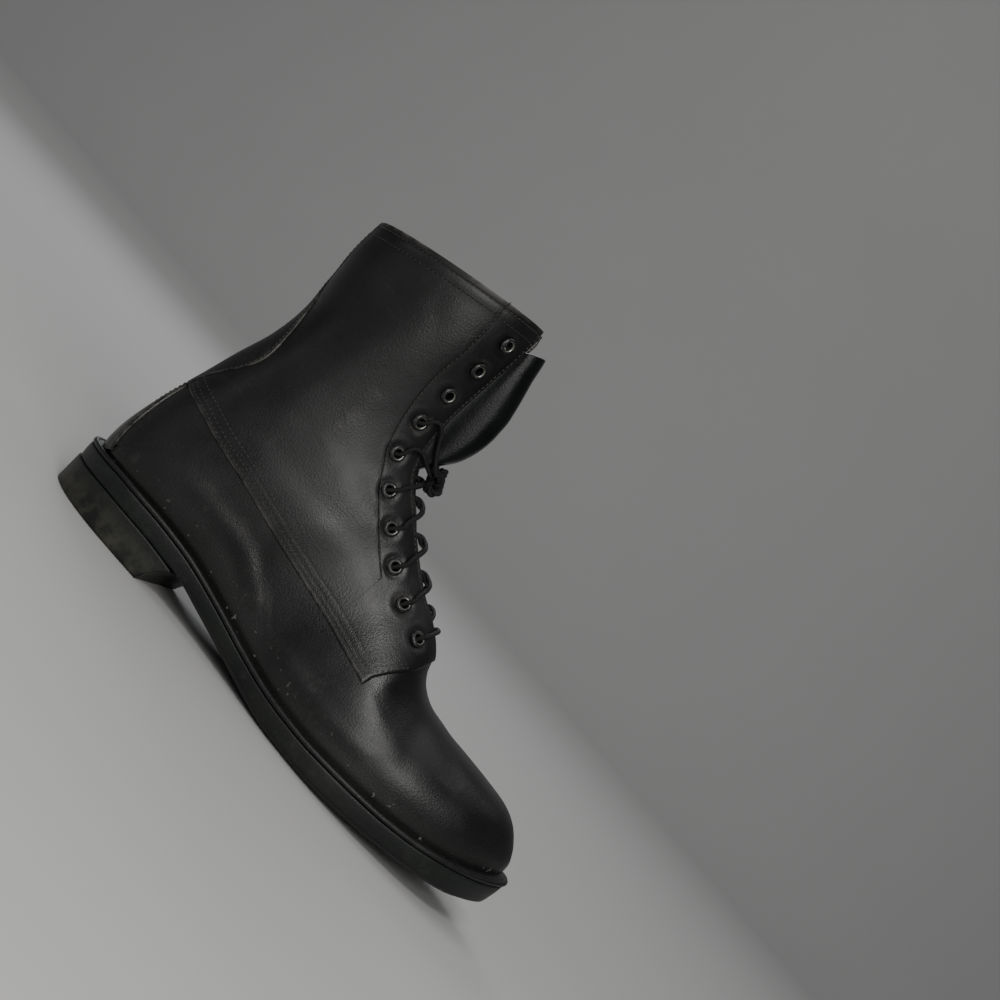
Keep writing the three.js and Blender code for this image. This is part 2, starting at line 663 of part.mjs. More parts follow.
function upperForm(fromRow, toRow, rowCount, around, offset) {
  return toSolid(loft(Array.from({ length: rowCount + 1 }, (_, r) => {
    const place = lerp(fromRow, toRow, r / rowCount);
    return Array.from({ length: around }, (_, i) => offsetPoint(place, 2 * Math.PI * i / around, offset));
  })));
}

function sidePoint(row) {
  return new THREE.Vector3(row.along * SOLE_LENGTH, 0, row.height * COLLAR_HEIGHT);
}

function underCollar(points) {
  const front = 0.45 * SOLE_LENGTH;
  const back = -0.1 * SOLE_LENGTH;
  return [
    ...points,
    new THREE.Vector3(front, 0, collarHeightAt(front)),
    new THREE.Vector3(back, 0, collarHeightAt(back)),
  ];
}

const outwardOf = (section) => new THREE.Vector3().subVectors(section.front, section.back).normalize();

const throatHalf = (place) => {
  const share = THREE.MathUtils.smoothstep(place, THROAT_START_ROW, THROAT_START_ROW + 6);
  return lerp(THROAT_HALF_FOOT, THROAT_HALF_TOP, share);
};

function throatCutter(margin) {
  const reachOut = 40;
  const reachIn = 16;
  const rowCount = 22;
  const rings = Array.from({ length: rowCount + 1 }, (_, r) => {
    const place = lerp(THROAT_START_ROW + margin / 10, LAST_ROW, r / rowCount);
    const s = sectionAt(place);
    const out = outwardOf(s);
    const half = throatHalf(place) * (r === 0 ? 0.6 : 1) - margin;
    const outer = s.front.clone().addScaledVector(out, reachOut);
    const inner = s.front.clone().addScaledVector(out, -reachIn);
    return [
      new THREE.Vector3(outer.x, s.centre - half, outer.z),
      new THREE.Vector3(outer.x, s.centre + half, outer.z),
      new THREE.Vector3(inner.x, s.centre + half, inner.z),
      new THREE.Vector3(inner.x, s.centre - half, inner.z),
    ];
  });
  return toSolid(loft(rings));
}

// A place on the facing: by section row, side (-1 outer, +1 inner) and distance back from its edge.
function facingPlace(place, side, distance, offset) {
  const s = sectionAt(place);
  const half = throatHalf(place);
  const stepAngle = 0.01;
  let angle = 0;
  let previous = null;
  let travelled = 0;
  while (angle < Math.PI / 2) {
    angle += stepAngle;
    const point = offsetPoint(place, -side * angle, offset);
    if (Math.abs(point.y - s.centre) < half) continue;
    if (previous) travelled += point.distanceTo(previous);
    previous = point;
    if (travelled >= distance) break;
  }
  return { point: previous, normal: surfaceNormal(place, -side * angle), row: place };
}

// Eyelets stand at an even pitch along the facing, from the collar down.
function eyeletRows() {
  const rows = [];
  const step = 0.02;
  let wanted = EYELET_FROM_COLLAR;
  let travelled = 0;
  let previous = facingPlace(COLLAR_ROW, -1, EYELET_SETBACK, QUARTER_STEP).point;
  for (let place = COLLAR_ROW - step; place > THROAT_START_ROW && rows.length < EYELET_COUNT; place -= step) {
    const point = facingPlace(place, -1, EYELET_SETBACK, QUARTER_STEP).point;
    travelled += point.distanceTo(previous);
    previous = point;
    if (travelled >= wanted) {
      rows.push(place);
      wanted += EYELET_PITCH;
    }
  }
  return rows;
}

const EYELET_ROWS = eyeletRows();
const SIDES = [{ name: 'lateral', side: -1 }, { name: 'medial', side: 1 }];
const eyeletPlaces = SIDES.flatMap(({ name, side }) => EYELET_ROWS.map((row, i) => ({
  name: `eyelet_${name}_${i + 1}`,
  ...facingPlace(row, side, EYELET_SETBACK, QUARTER_STEP),
})));

function turnedTo(normal) {
  return new THREE.Quaternion().setFromUnitVectors(new THREE.Vector3(0, 1, 0), normal);
}

function makeUpper() {
  const base = upperForm(0, COLLAR_ROW, COLLAR_ROW, OUTER_AROUND, 0);
  const quarterForm = upperForm(6, LAST_ROW, LAST_ROW - 6, OUTER_AROUND, QUARTER_STEP);
  const quarter = quarterForm.intersect(sidePrism(underCollar(QUARTER_EDGE.map(sidePoint))));
  const strapForm = upperForm(13, LAST_ROW, LAST_ROW - 13, OUTER_AROUND, BACKSTAY_STEP);
  const strapBack = -0.1 * SOLE_LENGTH;
  const strap = strapForm.intersect(sidePrism([
    new THREE.Vector3(strapBack, 0, collarHeightAt(strapBack)),
    new THREE.Vector3(strapBack, 0, 0),
    ...BACKSTAY_EDGE.toReversed().map(sidePoint),
    new THREE.Vector3(0.046 * SOLE_LENGTH, 0, collarHeightAt(0.046 * SOLE_LENGTH)),
  ]));
  const hollow = upperForm(0, LAST_ROW, LAST_ROW, INNER_AROUND, -WALL);
  const ground = plate(-20, () => -30, (x) => weltTop(x) + GAP);
  let solid = base.add(quarter).add(strap).subtract(hollow);
  solid = solid.subtract(toSolid(ground)).subtract(throatCutter(0));
  for (const place of eyeletPlaces) solid = solid.subtract(eyeletSeat(place));
  return toGeometry(solid);
}

// The hole for an eyelet's barrel, and the flat seat pressed for its flange.
function eyeletSeat({ point, normal }) {
  const hole = EYELET_HOLE_RADIUS + EYELET_BARREL_WALL + GAP;
  const seat = EYELET_FLANGE_RADIUS + GAP;
  const depth = 4 * WALL;
  const outline = [[0, -depth], [hole, -depth], [hole, 0], [seat, 0], [seat, depth / 2], [0, depth / 2]];
  const geometry = new THREE.LatheGeometry(
    outline.map(([radius, height]) => new THREE.Vector2(radius, height)),
    EYELET_SIDES,
  );
  geometry.applyQuaternion(turnedTo(normal));
  geometry.translate(point.x, point.y, point.z);
  return toSolid(geometry);
}

// Insole: fills the upper's foot from the inside and reaches down through the welt
function makeInsole() {
  const form = upperForm(1, 18, 17, INNER_AROUND, -(WALL + GAP + 0.2));
  const slab = plate(-20, (x) => weltTop(x) + GAP, (x) => weltTop(x) + INSOLE_THICKNESS);
  const core = plate(
    WELT_WIDTH + GAP,
    (x) => weltTop(x) - WELT_THICKNESS + 0.1,
    (x) => weltTop(x) + INSOLE_THICKNESS / 2,
  );
  return toGeometry(form.intersect(toSolid(slab)).add(toSolid(core)));
}

// Tongue: wings behind the facings, and a ridge that swells out of the throat above the knot
function makeTongue() {
  const rowCount = 22;
  const rings = Array.from({ length: rowCount + 1 }, (_, r) => (
    tongueRing(lerp(TONGUE_START_ROW, TONGUE_END_ROW, r / rowCount))
  ));
  const inside = upperForm(1, LAST_ROW, LAST_ROW - 1, INNER_AROUND, -(WALL + GAP + 0.1));
  const room = inside.add(throatCutter(GAP + 0.3));
  return toGeometry(toSolid(loft(rings)).intersect(room));
}

function tongueRing(place) {
  const s = sectionAt(place);
  const out = outwardOf(s);
  const climb = THREE.MathUtils.smoothstep(place, TONGUE_START_ROW, THROAT_START_ROW + 5);
  const wing = lerp(TONGUE_HALF_FOOT, TONGUE_HALF_TOP, climb);
  const neck = throatHalf(place) - TONGUE_GAP;
  const insideAt = (y, side) => {
    let best = null;
    for (let angle = 0.02; angle < Math.PI / 2; angle += 0.02) {
      const point = offsetPoint(place, -side * angle, -(WALL + TONGUE_CLEARANCE));
      best = point.sub(s.front).dot(out);
      if (Math.abs(point.y - s.centre) >= y) break;
    }
    return best;
  };
  const open = THREE.MathUtils.smoothstep(place, THROAT_START_ROW, THROAT_START_ROW + 0.8);
  const ridge = lerp(insideAt(0.5, -1), tongueRidge(place), open);
  const flank = (side) => {
    const neckLevel = insideAt(neck, side);
    const rise = ridge - neckLevel;
    return [
      [side * wing, insideAt(wing, side)],
      [side * (wing + neck) / 2, insideAt((wing + neck) / 2, side)],
      [side * (neck + 1.2), insideAt(neck + 1.2, side)],
      [side * neck, neckLevel + Math.max(rise, 0) * 0.12],
      [side * neck * 0.98, neckLevel + rise * 0.45],
      [side * neck * 0.84, neckLevel + rise * 0.76],
      [side * neck * 0.5, neckLevel + rise * 0.95],
    ];
  };
  const outer = [...flank(-1), [0, ridge], ...flank(1).toReversed()];
  const inner = outer.map(([y, h], i) => {
    const before = outer[Math.max(i - 1, 0)];
    const after = outer[Math.min(i + 1, outer.length - 1)];
    const across = new THREE.Vector2(after[0] - before[0], after[1] - before[1]).normalize();
    return [y + across.y * TONGUE_WALL, h - across.x * TONGUE_WALL];
  });
  const at = ([y, h]) => {
    const point = s.front.clone().addScaledVector(out, h);
    point.y = s.centre + y;
    return point;
  };
  return [...outer.map(at), ...inner.toReversed().map(at)];
}

// Eyelets: a domed flange over the leather with a barrel through it
function makeEyelet({ point, normal }) {
  const barrel = EYELET_HOLE_RADIUS + EYELET_BARREL_WALL;
  const profilePoints = [
    [EYELET_HOLE_RADIUS, -(WALL + QUARTER_STEP)],
    [barrel, -(WALL + QUARTER_STEP)],
    [barrel, GAP],
    [EYELET_FLANGE_RADIUS, GAP],
    [EYELET_FLANGE_RADIUS - 1, GAP + EYELET_FLANGE_HEIGHT],
    [EYELET_HOLE_RADIUS + 0.4, GAP + EYELET_FLANGE_HEIGHT],
    [EYELET_HOLE_RADIUS, -(WALL + QUARTER_STEP)],
  ].map(([radius, height]) => new THREE.Vector2(radius, height));
  const geometry = new THREE.LatheGeometry(profilePoints, EYELET_SIDES);
  geometry.applyQuaternion(turnedTo(normal));
  geometry.translate(point.x, point.y, point.z);
  return toGeometry(toSolid(geometry));
}

// Lace
function cord(points, steps) {
  const section = new THREE.Shape(Array.from({ length: LACE_SIDES }, (_, i) => {
    const angle = 2 * Math.PI * i / LACE_SIDES;
    return new THREE.Vector2(LACE_RADIUS * Math.cos(angle), LACE_RADIUS * Math.sin(angle));
  }));
  const path = new THREE.CatmullRomCurve3(points, false, 'centripetal');
  return new THREE.ExtrudeGeometry(section, { extrudePath: path, steps, bevelEnabled: false });
}

const overLeather = QUARTER_STEP + LACE_RADIUS + GAP + 0.2;
const overFlange = QUARTER_STEP + EYELET_FLANGE_HEIGHT + GAP + LACE_RADIUS + GAP;

function chordCentre(place, lift) {
  const left = facingPlace(place, -1, 0, overLeather).point;
  const right = facingPlace(place, 1, 0, overLeather).point;
  const s = sectionAt(place);
  const out = outwardOf(s);
  return left.add(right).multiplyScalar(0.5).addScaledVector(out, lift);
}

// A point in the throat beside one facing, where a strand dives behind it.
function throatSide(place, side, sink = 2.3) {
  const point = chordCentre(place, -sink);
  point.y = sectionAt(place).centre + side * (throatHalf(place) - 2.6);
  return point;
}

// One strand from an eyelet over the facing's edge, across the tongue and down behind the far edge.
function strand(fromRow, toRow, side) {
  const at = (share) => lerp(fromRow, toRow, share);
  return toSolid(cord([
    facingPlace(at(0.0), side, EYELET_SETBACK - EYELET_HOLE_RADIUS, overFlange).point,
    facingPlace(at(0.1), side, EYELET_SETBACK - EYELET_FLANGE_RADIUS - 1, overFlange).point,
    facingPlace(at(0.22), side, 2.5, overLeather).point,
    facingPlace(at(0.3), side, 0, overLeather + 0.2).point,
    chordCentre(at(0.5), -0.4),
    throatSide(at(0.72), -side),
  ], 7));
}

// The lowest crossing stays inside the throat, because the bar fills the eyelets below it.
function makeInnerCrossing(fromRow, toRow) {
  const at = (share) => lerp(fromRow, toRow, share);
  const half = (side) => toSolid(cord([
    throatSide(at(0.34), side, 2.8),
    chordCentre(at(0.53), -0.9),
    throatSide(at(0.74), -side, 2.8),
  ], 6));
  return toGeometry(half(-1).add(half(1)));
}

function makeCrossing(fromRow, toRow) {
  return toGeometry(strand(fromRow, toRow, -1).add(strand(fromRow, toRow, 1)));
}

function makeBar(row) {
  const half = (side) => [
    facingPlace(row, side, EYELET_SETBACK - EYELET_HOLE_RADIUS, overFlange).point,
    facingPlace(row, side, EYELET_SETBACK - EYELET_FLANGE_RADIUS - 1, overFlange).point,
    facingPlace(row, side, 2, overLeather).point,
  ];
  return toGeometry(toSolid(cord([...half(-1), chordCentre(row, 0), ...half(1).toReversed()], 10)));
}

function makeTie(points, side) {
  return toGeometry(toSolid(cord(points.map(([x, y, z]) => new THREE.Vector3(x, -side * y, z)), 10)));
}

function makeKnot() {
  const geometry = new THREE.SphereGeometry(1, 12, 8);
  geometry.scale(...KNOT_RADII);
  geometry.translate(...KNOT_CENTRE);
  return toGeometry(toSolid(geometry));
}

// Assembly
const group = new THREE.Group();
group.position.x = -SOLE_LENGTH / 2;

function addPart(name, geometry, finish) {
  const mesh = new THREE.Mesh(geometry, new THREE.MeshStandardMaterial(finish));
  mesh.name = name;
  group.add(mesh);
}

addPart('outsole', makeOutsole(), RUBBER);
addPart('heel', makeHeel(), RUBBER);
addPart('welt', makeWelt(), WELT_RUBBER);
addPart('insole', makeInsole(), BOARD);
addPart('upper', makeUpper(), LEATHER);
addPart('tongue', makeTongue(), TONGUE_LEATHER);
for (const place of eyeletPlaces) addPart(place.name, makeEyelet(place), EYELET_METAL);
const [lowestRow, nextRow] = EYELET_ROWS.slice(-2).reverse();
addPart('lace_bar', makeBar(lowestRow), LACE_CORD);
addPart('lace_crossing_1', makeInnerCrossing(lowestRow, nextRow), LACE_CORD);
for (let i = EYELET_COUNT - 1; i > KNOT_EYELET; i -= 1) {
  const crossing = makeCrossing(EYELET_ROWS[i - 1], Math.min(EYELET_ROWS[i - 2], KNOT_ROW));
  addPart(`lace_crossing_${EYELET_COUNT - i + 1}`, crossing, LACE_CORD);
}
addPart('lace_knot', makeKnot(), LACE_CORD);
for (const { name, side } of SIDES) {
  addPart(`lace_tie_low_${name}`, makeTie(LOW_TIE, side), LACE_CORD);
  addPart(`lace_tie_high_${name}`, makeTie(HIGH_TIE, side), LACE_CORD);
}

export default group;
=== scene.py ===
"""Looks of a right-foot combat boot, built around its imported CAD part.

Points are worked out in millimetres in the part's own design frame (x from the back of the sole,
y to the inner side of the foot, z up) and turned into the row frame, in metres, when a mesh is made.
"""

import math

import bmesh
import bpy
import numpy as np
from mathutils import Matrix, Vector


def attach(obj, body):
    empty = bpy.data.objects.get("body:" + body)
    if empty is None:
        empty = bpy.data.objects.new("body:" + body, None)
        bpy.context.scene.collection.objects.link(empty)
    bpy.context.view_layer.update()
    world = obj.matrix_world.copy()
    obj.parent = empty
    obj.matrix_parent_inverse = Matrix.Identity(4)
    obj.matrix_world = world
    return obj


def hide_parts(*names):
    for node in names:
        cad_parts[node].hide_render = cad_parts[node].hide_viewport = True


# Driving sizes, the same as the part's
SOLE_LENGTH = 308.0
BALL_WIDTH = 107.0
HEEL_WIDTH = 74.5
COLLAR_HEIGHT = 232.0
SEAT_HEIGHT = 30.0
WALL = 2.0
QUARTER_STEP = 1.2
BACKSTAY_STEP = 2.4
WELT_THICKNESS = 2.8
WELT_WIDTH = 13.0
WELT_LIP = 0.7
INSOLE_THICKNESS = 2.6
GAP = 0.3
FEATHER_DROP = 8.0
COLLAR_SLOPE = 0.27
THROAT_HALF_TOP = 14.0
THROAT_HALF_FOOT = 10.0
THROAT_START_ROW = 10.4
TONGUE_WALL = 2.2
TONGUE_CLEARANCE = 1.1
TONGUE_GAP = 1.5
TONGUE_START_ROW = 9.4
TONGUE_END_ROW = 24.7
TONGUE_HALF_TOP = 24.0
TONGUE_HALF_FOOT = 13.0
EYELET_COUNT = 10
EYELET_PITCH = 19.3
EYELET_FROM_COLLAR = 17.5
EYELET_SETBACK = 16.4
EYELET_FLANGE_RADIUS = 4.4
EYELET_HOLE_RADIUS = 2.3
EYELET_FLANGE_HEIGHT = 0.9
QUARTER_HOLE_RADIUS = 3.4
LINING_HOLE_RADIUS = 3.6 + WALL / 2
LACE_RADIUS = 1.15
CORD_SIDES = 12
KNOT_ROW = 17.45
LATERAL, MEDIAL = 1, -1
HANDS = {"lateral": LATERAL, "medial": MEDIAL}

# Plan outline of the sole in stretches, each with the width that it is a share of:
# place along the length, and half width (outer side negative)
SOLE_OUTLINE = [
    (HEEL_WIDTH, [(0.0, 0.0), (0.012, -0.4), (0.05, -0.79), (0.11, -0.98), (0.17, -1.0), (0.245, -0.965)]),
    (BALL_WIDTH, [
        (0.33, -0.655), (0.415, -0.72), (0.49, -0.83), (0.56, -0.938), (0.625, -0.995), (0.69, -0.99),
        (0.755, -0.935), (0.82, -0.83), (0.88, -0.69), (0.93, -0.5), (0.969, -0.26), (0.992, -0.03),
        (1.0, 0.2), (0.995, 0.42), (0.975, 0.63), (0.94, 0.77), (0.9, 0.85), (0.85, 0.925), (0.79, 0.98),
        (0.73, 1.0), (0.68, 0.97), (0.62, 0.89), (0.56, 0.775), (0.5, 0.65), (0.43, 0.555), (0.36, 0.535),
    ]),
    (HEEL_WIDTH, [(0.29, 0.825), (0.22, 0.915), (0.16, 0.965), (0.1, 0.945), (0.05, 0.77), (0.012, 0.4)]),
]

# Heights along the sole, as shares of SEAT_HEIGHT, and the upper's inset from the sole's edge in mm
WELT_TOP = [
    (0.0, 0.92), (0.04, 0.965), (0.11, 1.005), (0.17, 1.005), (0.22, 0.985), (0.265, 0.94), (0.34, 0.8),
    (0.43, 0.62), (0.5, 0.53), (0.58, 0.513), (0.65, 0.55), (0.71, 0.593), (0.775, 0.655), (0.836, 0.75),
    (0.9, 0.9), (0.95, 1.035), (1.0, 1.2),
]
SOLE_UNDERSIDE = [
    (0.0, 0.517), (0.08, 0.583), (0.17, 0.593), (0.24, 0.55), (0.285, 0.483), (0.32, 0.4), (0.37, 0.29),
    (0.42, 0.185), (0.47, 0.09), (0.515, 0.02), (0.54, 0.0), (0.63, 0.0), (0.67, 0.02), (0.71, 0.06),
    (0.775, 0.133), (0.836, 0.217), (0.9, 0.315), (0.95, 0.405), (1.0, 0.567),
]
FEATHER_INSET = [(0.0, 4.6), (0.06, 3.4), (0.15, 3.2), (0.3, 4.6), (0.5, 5.2), (0.8, 5.0), (1.0, 5.8)]
HEEL_BREAST = {"lateral": 0.256, "medial": 0.3, "rake": 10.0, "taper": 1.2}
GROOVE_WIDTH, GROOVE_DEPTH, GROOVE_PITCH, GROOVE_RAKE = 3.2, 1.8, 12.0, 7.0
BALL_GROOVES = {"first": 0.52, "count": 9, "half": 34.0}
HEEL_GROOVES = {"first": 0.07, "count": 4, "half": 25.0}

# Sections of the upper, toe to collar: front point, back point (None follows the welt), centre,
# half width (None follows the feather line), widest place, and the rounding to the front and back
UPPER_SECTIONS = [
    (0.982, 0.157, 0.982, None, 0.2, None, 0.5, 2.2, 6.0),
    (0.980, 0.179, 0.980, None, 0.195, None, 0.48, 2.2, 6.0),
    (0.972, 0.198, 0.972, None, 0.18, None, 0.45, 2.2, 6.0),
    (0.956, 0.224, 0.956, None, 0.16, None, 0.42, 2.2, 6.0),
    (0.932, 0.248, 0.932, None, 0.14, None, 0.4, 2.25, 6.0),
    (0.899, 0.263, 0.896, None, 0.12, None, 0.38, 2.25, 6.0),
    (0.847, 0.269, 0.838, None, 0.1, None, 0.36, 2.2, 6.0),
    (0.782, 0.272, 0.763, None, 0.08, None, 0.35, 2.15, 6.0),
    (0.721, 0.278, 0.695, None, 0.06, None, 0.34, 2.1, 6.0),
    (0.675, 0.295, 0.636, None, 0.045, None, 0.33, 2.1, 6.0),
    (0.649, 0.325, 0.584, None, 0.03, None, 0.32, 2.1, 6.0),
    (0.631, 0.371, 0.532, None, 0.02, None, 0.31, 2.15, 6.0),
    (0.594, 0.411, 0.468, None, 0.01, None, 0.3, 2.2, 6.0),
    (0.549, 0.446, 0.390, None, 0.0, None, 0.31, 2.25, 6.0),
    (0.497, 0.496, 0.295, None, 0.0, None, 0.33, 2.3, 6.0),
    (0.451, 0.541, 0.195, None, 0.0, None, 0.36, 2.3, 6.0),
    (0.419, 0.573, 0.104, None, 0.0, None, 0.4, 2.3, 6.0),
    (0.401, 0.597, 0.055, 0.095, 0.0, 0.97, 0.42, 2.3, 4.5),
    (0.389, 0.625, 0.026, 0.112, 0.0, 0.95, 0.43, 2.3, 3.2),
    (0.377, 0.672, 0.017, 0.181, 0.0, 0.93, 0.44, 2.3, 2.6),
    (0.369, 0.728, 0.024, 0.276, 0.0, 0.92, 0.45, 2.3, 2.4),
    (0.365, 0.780, 0.039, 0.379, 0.0, 0.93, 0.47, 2.3, 2.3),
    (0.363, 0.828, 0.051, 0.466, 0.0, 0.96, 0.48, 2.3, 2.2),
    (0.361, 0.875, 0.065, 0.552, 0.0, 1.0, 0.49, 2.3, 2.2),
    (0.360, 0.918, 0.068, 0.638, 0.0, 1.04, 0.5, 2.3, 2.2),
    (0.358, 0.955, 0.058, 0.724, 0.0, 1.08, 0.5, 2.3, 2.2),
    (0.356, 0.983, 0.047, 0.810, 0.0, 1.11, 0.5, 2.3, 2.2),
    (0.352, 1.001, 0.044, 0.891, 0.0, 1.13, 0.5, 2.3, 2.2),
    (0.349, 1.039, 0.043, 0.935, 0.0, 1.14, 0.5, 2.3, 2.2),
]
COLLAR_ROW = len(UPPER_SECTIONS) - 2
LAST_ROW = len(UPPER_SECTIONS) - 1

# Where each leather piece lies, by section row
VAMP_LAST_ROW = 21.6
QUARTER_FIRST_ROW = 11.0
BACKSTAY_FIRST_ROW = 17.97
LINING_FIRST_ROW = 0.6
VAMP_ROW_COUNT = 250
ROW_SAMPLES = 301

# Side views, as shares: the quarter's lower edge, its front tab, and the backstay's front edge
QUARTER_EDGE = [
    (-0.1, 0.36), (0.016, 0.353), (0.057, 0.341), (0.094, 0.334), (0.154, 0.319), (0.217, 0.308),
    (0.279, 0.293), (0.342, 0.277), (0.404, 0.264), (0.466, 0.252), (0.542, 0.234), (0.575, 0.227),
    (0.589, 0.222), (0.66, 0.2),
]
QUARTER_TAB = [
    (0.636, 0.346), (0.628, 0.318), (0.617, 0.3), (0.605, 0.279), (0.592, 0.25), (0.589, 0.223),
]
BACKSTAY_EDGE = [
    (0.052, 0.11), (0.038, 0.152), (0.03, 0.227), (0.034, 0.315), (0.051, 0.389), (0.066, 0.423),
    (0.086, 0.468), (0.097, 0.523), (0.091, 0.582), (0.077, 0.652), (0.058, 0.732), (0.049, 0.81),
    (0.047, 0.892), (0.047, 1.1),
]

# How far the tongue's ridge stands out of the throat, by section row
TONGUE_RIDGE = [
    (9.0, -8.0), (10.6, -6.5), (12.0, -5.6), (16.0, -5.4), (17.5, -6.4), (17.8, 0.6), (18.1, 12.0),
    (18.5, 18.5), (19.1, 23.0), (20.0, 24.0), (21.0, 21.5), (22.0, 18.0), (23.0, 14.5), (24.0, 11.5),
    (25.0, 9.0),
]

# The lace from the fifth and fourth eyelets to the knot, on the outer side
LOW_TIE = [
    (110.0, -23.8, 144.4), (112.2, -21.8, 146.2), (114.9, -18.8, 146.4), (118.9, -14.7, 144.6),
    (122.4, -10.6, 143.0), (125.2, -7.3, 141.9),
]
HIGH_TIE = [
    (106.7, -24.1, 161.3), (108.9, -22.4, 162.6), (111.7, -19.8, 161.4), (115.4, -16.9, 156.6),
    (119.8, -15.3, 150.8), (124.0, -13.2, 146.2), (126.8, -9.0, 143.8),
]
KNOT_CENTRE = (128.0, 0.0, 142.5)
KNOT_SCALE = (2.5, 2.15, 2.25)
KNOT_LEAN = -32.0
KNOT_STRANDS = 3

# Soft creases in side view, in mm: points, depth (negative is a ridge), half width
CREASES = [
    ([(62, 95), (100, 94), (140, 95), (168, 84)], 0.42, 9.0),
    ([(70, 112), (100, 110), (128, 106)], -0.22, 7.0),
    ([(50, 96), (47, 120), (50, 150), (56, 175)], 0.3, 8.0),
    ([(78, 112), (80, 130), (79, 150)], -0.28, 7.0),
    ([(27, 106), (30, 122), (27, 142), (22, 158)], 0.3, 6.0),
    ([(34, 119), (52, 113), (70, 115)], 0.1, 4.5),
    ([(36, 136), (54, 131), (66, 133)], 0.08, 4.5),
    ([(112, 46), (118, 41), (124, 35)], 0.08, 1.8),
    ([(122, 44), (128, 38), (138, 32)], 0.07, 1.8),
    ([(213, 72), (217, 56), (226, 40)], 0.55, 7.5),
    ([(228, 66), (240, 58), (252, 54)], 0.35, 5.5),
    ([(97, 72), (101, 55), (112, 42)], 0.3, 6.5),
    ([(44, 51), (72, 52), (96, 49), (110, 42), (122, 35)], -0.6, 6.5),
    ([(138, 33), (165, 29), (192, 30), (210, 33)], -0.55, 6.0),
    ([(60, 205), (75, 190), (82, 170)], 0.2, 7.0),
    ([(20, 200), (40, 190), (55, 192)], 0.18, 7.0),
]

# Worn, lighter or polished places, many of them painted highlights, in side view: centre, radius, strength
WORN_AND_SHEEN_SPOTS = [
    (79, 128, 6.5, 1.0), (76, 117, 4.0, 0.6), (118, 41, 3.5, 0.5), (232, 33, 8.0, 1.0), (247, 48, 6.0, 0.7),
    (20, 214, 3.5, 0.9), (150, 106, 9.0, 0.45), (170, 29, 13.0, 0.7),
    (62, 51, 9.0, 0.8), (82, 50, 8.0, 0.9), (102, 48, 8.0, 1.0), (116, 38, 7.0, 0.8), (140, 32, 8.0, 0.6),
    (205, 30, 9.0, 0.5), (95, 222, 6.0, 0.4), (292, 46, 6.0, 0.5), (9, 60, 9.0, 0.5), (26, 39, 3.0, 0.5),
]

# Stitching: distances from the edges that it follows, and its pitch, in mm
QUARTER_STITCH_ROWS = [2.2, 4.9, 9.0]
COLLAR_STITCH_ROWS = [3.0, 8.6]
FACING_STITCH_ROWS = [3.0]
BACKSTAY_STITCH_ROWS = [1.8]
STITCH_PITCH = 2.7
STITCH_LENGTH = 2.0
STITCH_RADIUS = 0.26
STITCH_SINK = 0.02
STITCH_SIDES = 6
FACING_SEAM = [
    (87, 228), (90.5, 196), (90, 178), (92, 162), (96, 147), (101, 135.5), (106, 128.5), (112.5, 120.5),
    (121, 112.5), (129, 105.5), (139, 97.5), (148, 91),
]

# One stitch: place along it, width and rise, as shares of its half length and its radius
STITCH_SHAPE = [
    (-1.0, 0.05, -0.9), (-0.75, 0.7, -0.2), (-0.3, 1.0, 0.35), (0.3, 1.0, 0.35), (0.75, 0.7, -0.2),
    (1.0, 0.05, -0.9),
]

# Low relief of the quarters: what it is measured from, how far off it lies, half width and height, in mm
QUARTER_RELIEF = [
    ("collar", 6.0, 2.6, 0.22), ("collar", 2.9, 0.9, -0.2), ("facing edge", 1.6, 1.0, 0.12),
    ("facing edge", 3.2, 0.9, -0.15), *[("lower edge", row, 0.9, -0.07) for row in QUARTER_STITCH_ROWS],
    ("eyelet", 4.2, 1.7, -0.55), ("eyelet", 7.6, 1.5, 0.14), ("facing seam", 0.0, 0.8, -0.14),
]

# Added to distances kept as mesh values, so that a piece without them, which reads 0, gets no line
LINE_ZERO = 20.0

# The sole's wall from top to bottom, and the welt's section round its lip: inset from the outline in mm,
# and share of the height
SOLE_WALL = [
    (0.9, 1.0), (0.35, 1.0), (0.0, 0.96), (0.0, 0.88), (0.05, 0.7), (0.3, 0.5), (0.6, 0.28), (0.9, 0.1),
    (1.2, 0.0),
]
WELT_SECTION = [
    (WELT_WIDTH, 0.0), (7.0, 0.0), (1.6, 0.0), (0.75, 0.05), (0.2, 0.2), (0.0, 0.42), (0.05, 0.66),
    (0.3, 0.86), (0.8, 0.98), (1.5, 1.0), (2.1, 0.97), (2.5, 0.86), (2.9, 0.84), (3.3, 0.93), (3.9, 0.97),
    (5.0, 0.97), (7.0, 0.96), (WELT_WIDTH, 0.95), (WELT_WIDTH, 0.0),
]

# Camera and light, in the row frame, in metres
CAMERA_PLACE = (0.003, -0.915, 0.1606)
CAMERA_ROLL = 49.3
CAMERA_LENS = 64.9
SKY = (0.6, 0.62, 0.64, 1.0)
SKY_STRENGTH = 0.2

# Lights: name, place, target, size, power in watts and colour
LIGHTS = [
    ("window", (0.5, -1.55, 0.6), (0.0, 0.0, 0.08), (0.6, 0.6), 12.5, (1.0, 0.99, 0.97)),
    ("high", (0.05, -1.15, 0.95), (0.0, 0.0, 0.03), (0.45, 0.3), 8.5, (1.0, 0.99, 0.97)),
    ("side", (-1.3, -0.9, 0.6), (0.0, 0.0, 0.1), (0.7, 0.7), 2.0, (0.97, 0.98, 1.0)),
    ("top", (-0.1, 0.1, 1.5), (0.0, 0.0, 0.0), (1.2, 1.2), 5.0, (1.0, 0.98, 0.96)),
    ("back", (-0.6, 1.2, 0.9), (0.0, 0.0, 0.1), (0.6, 0.6), 4.0, (0.95, 0.98, 1.0)),
    ("wall", (0.0, 1.2, 2.2), (0.0, 3.2, 0.8), (2.5, 1.0), 20.0, (1.0, 1.0, 1.0)),
]


# Small numeric helpers
def lerp(a, b, t):
    return a + (b - a) * t


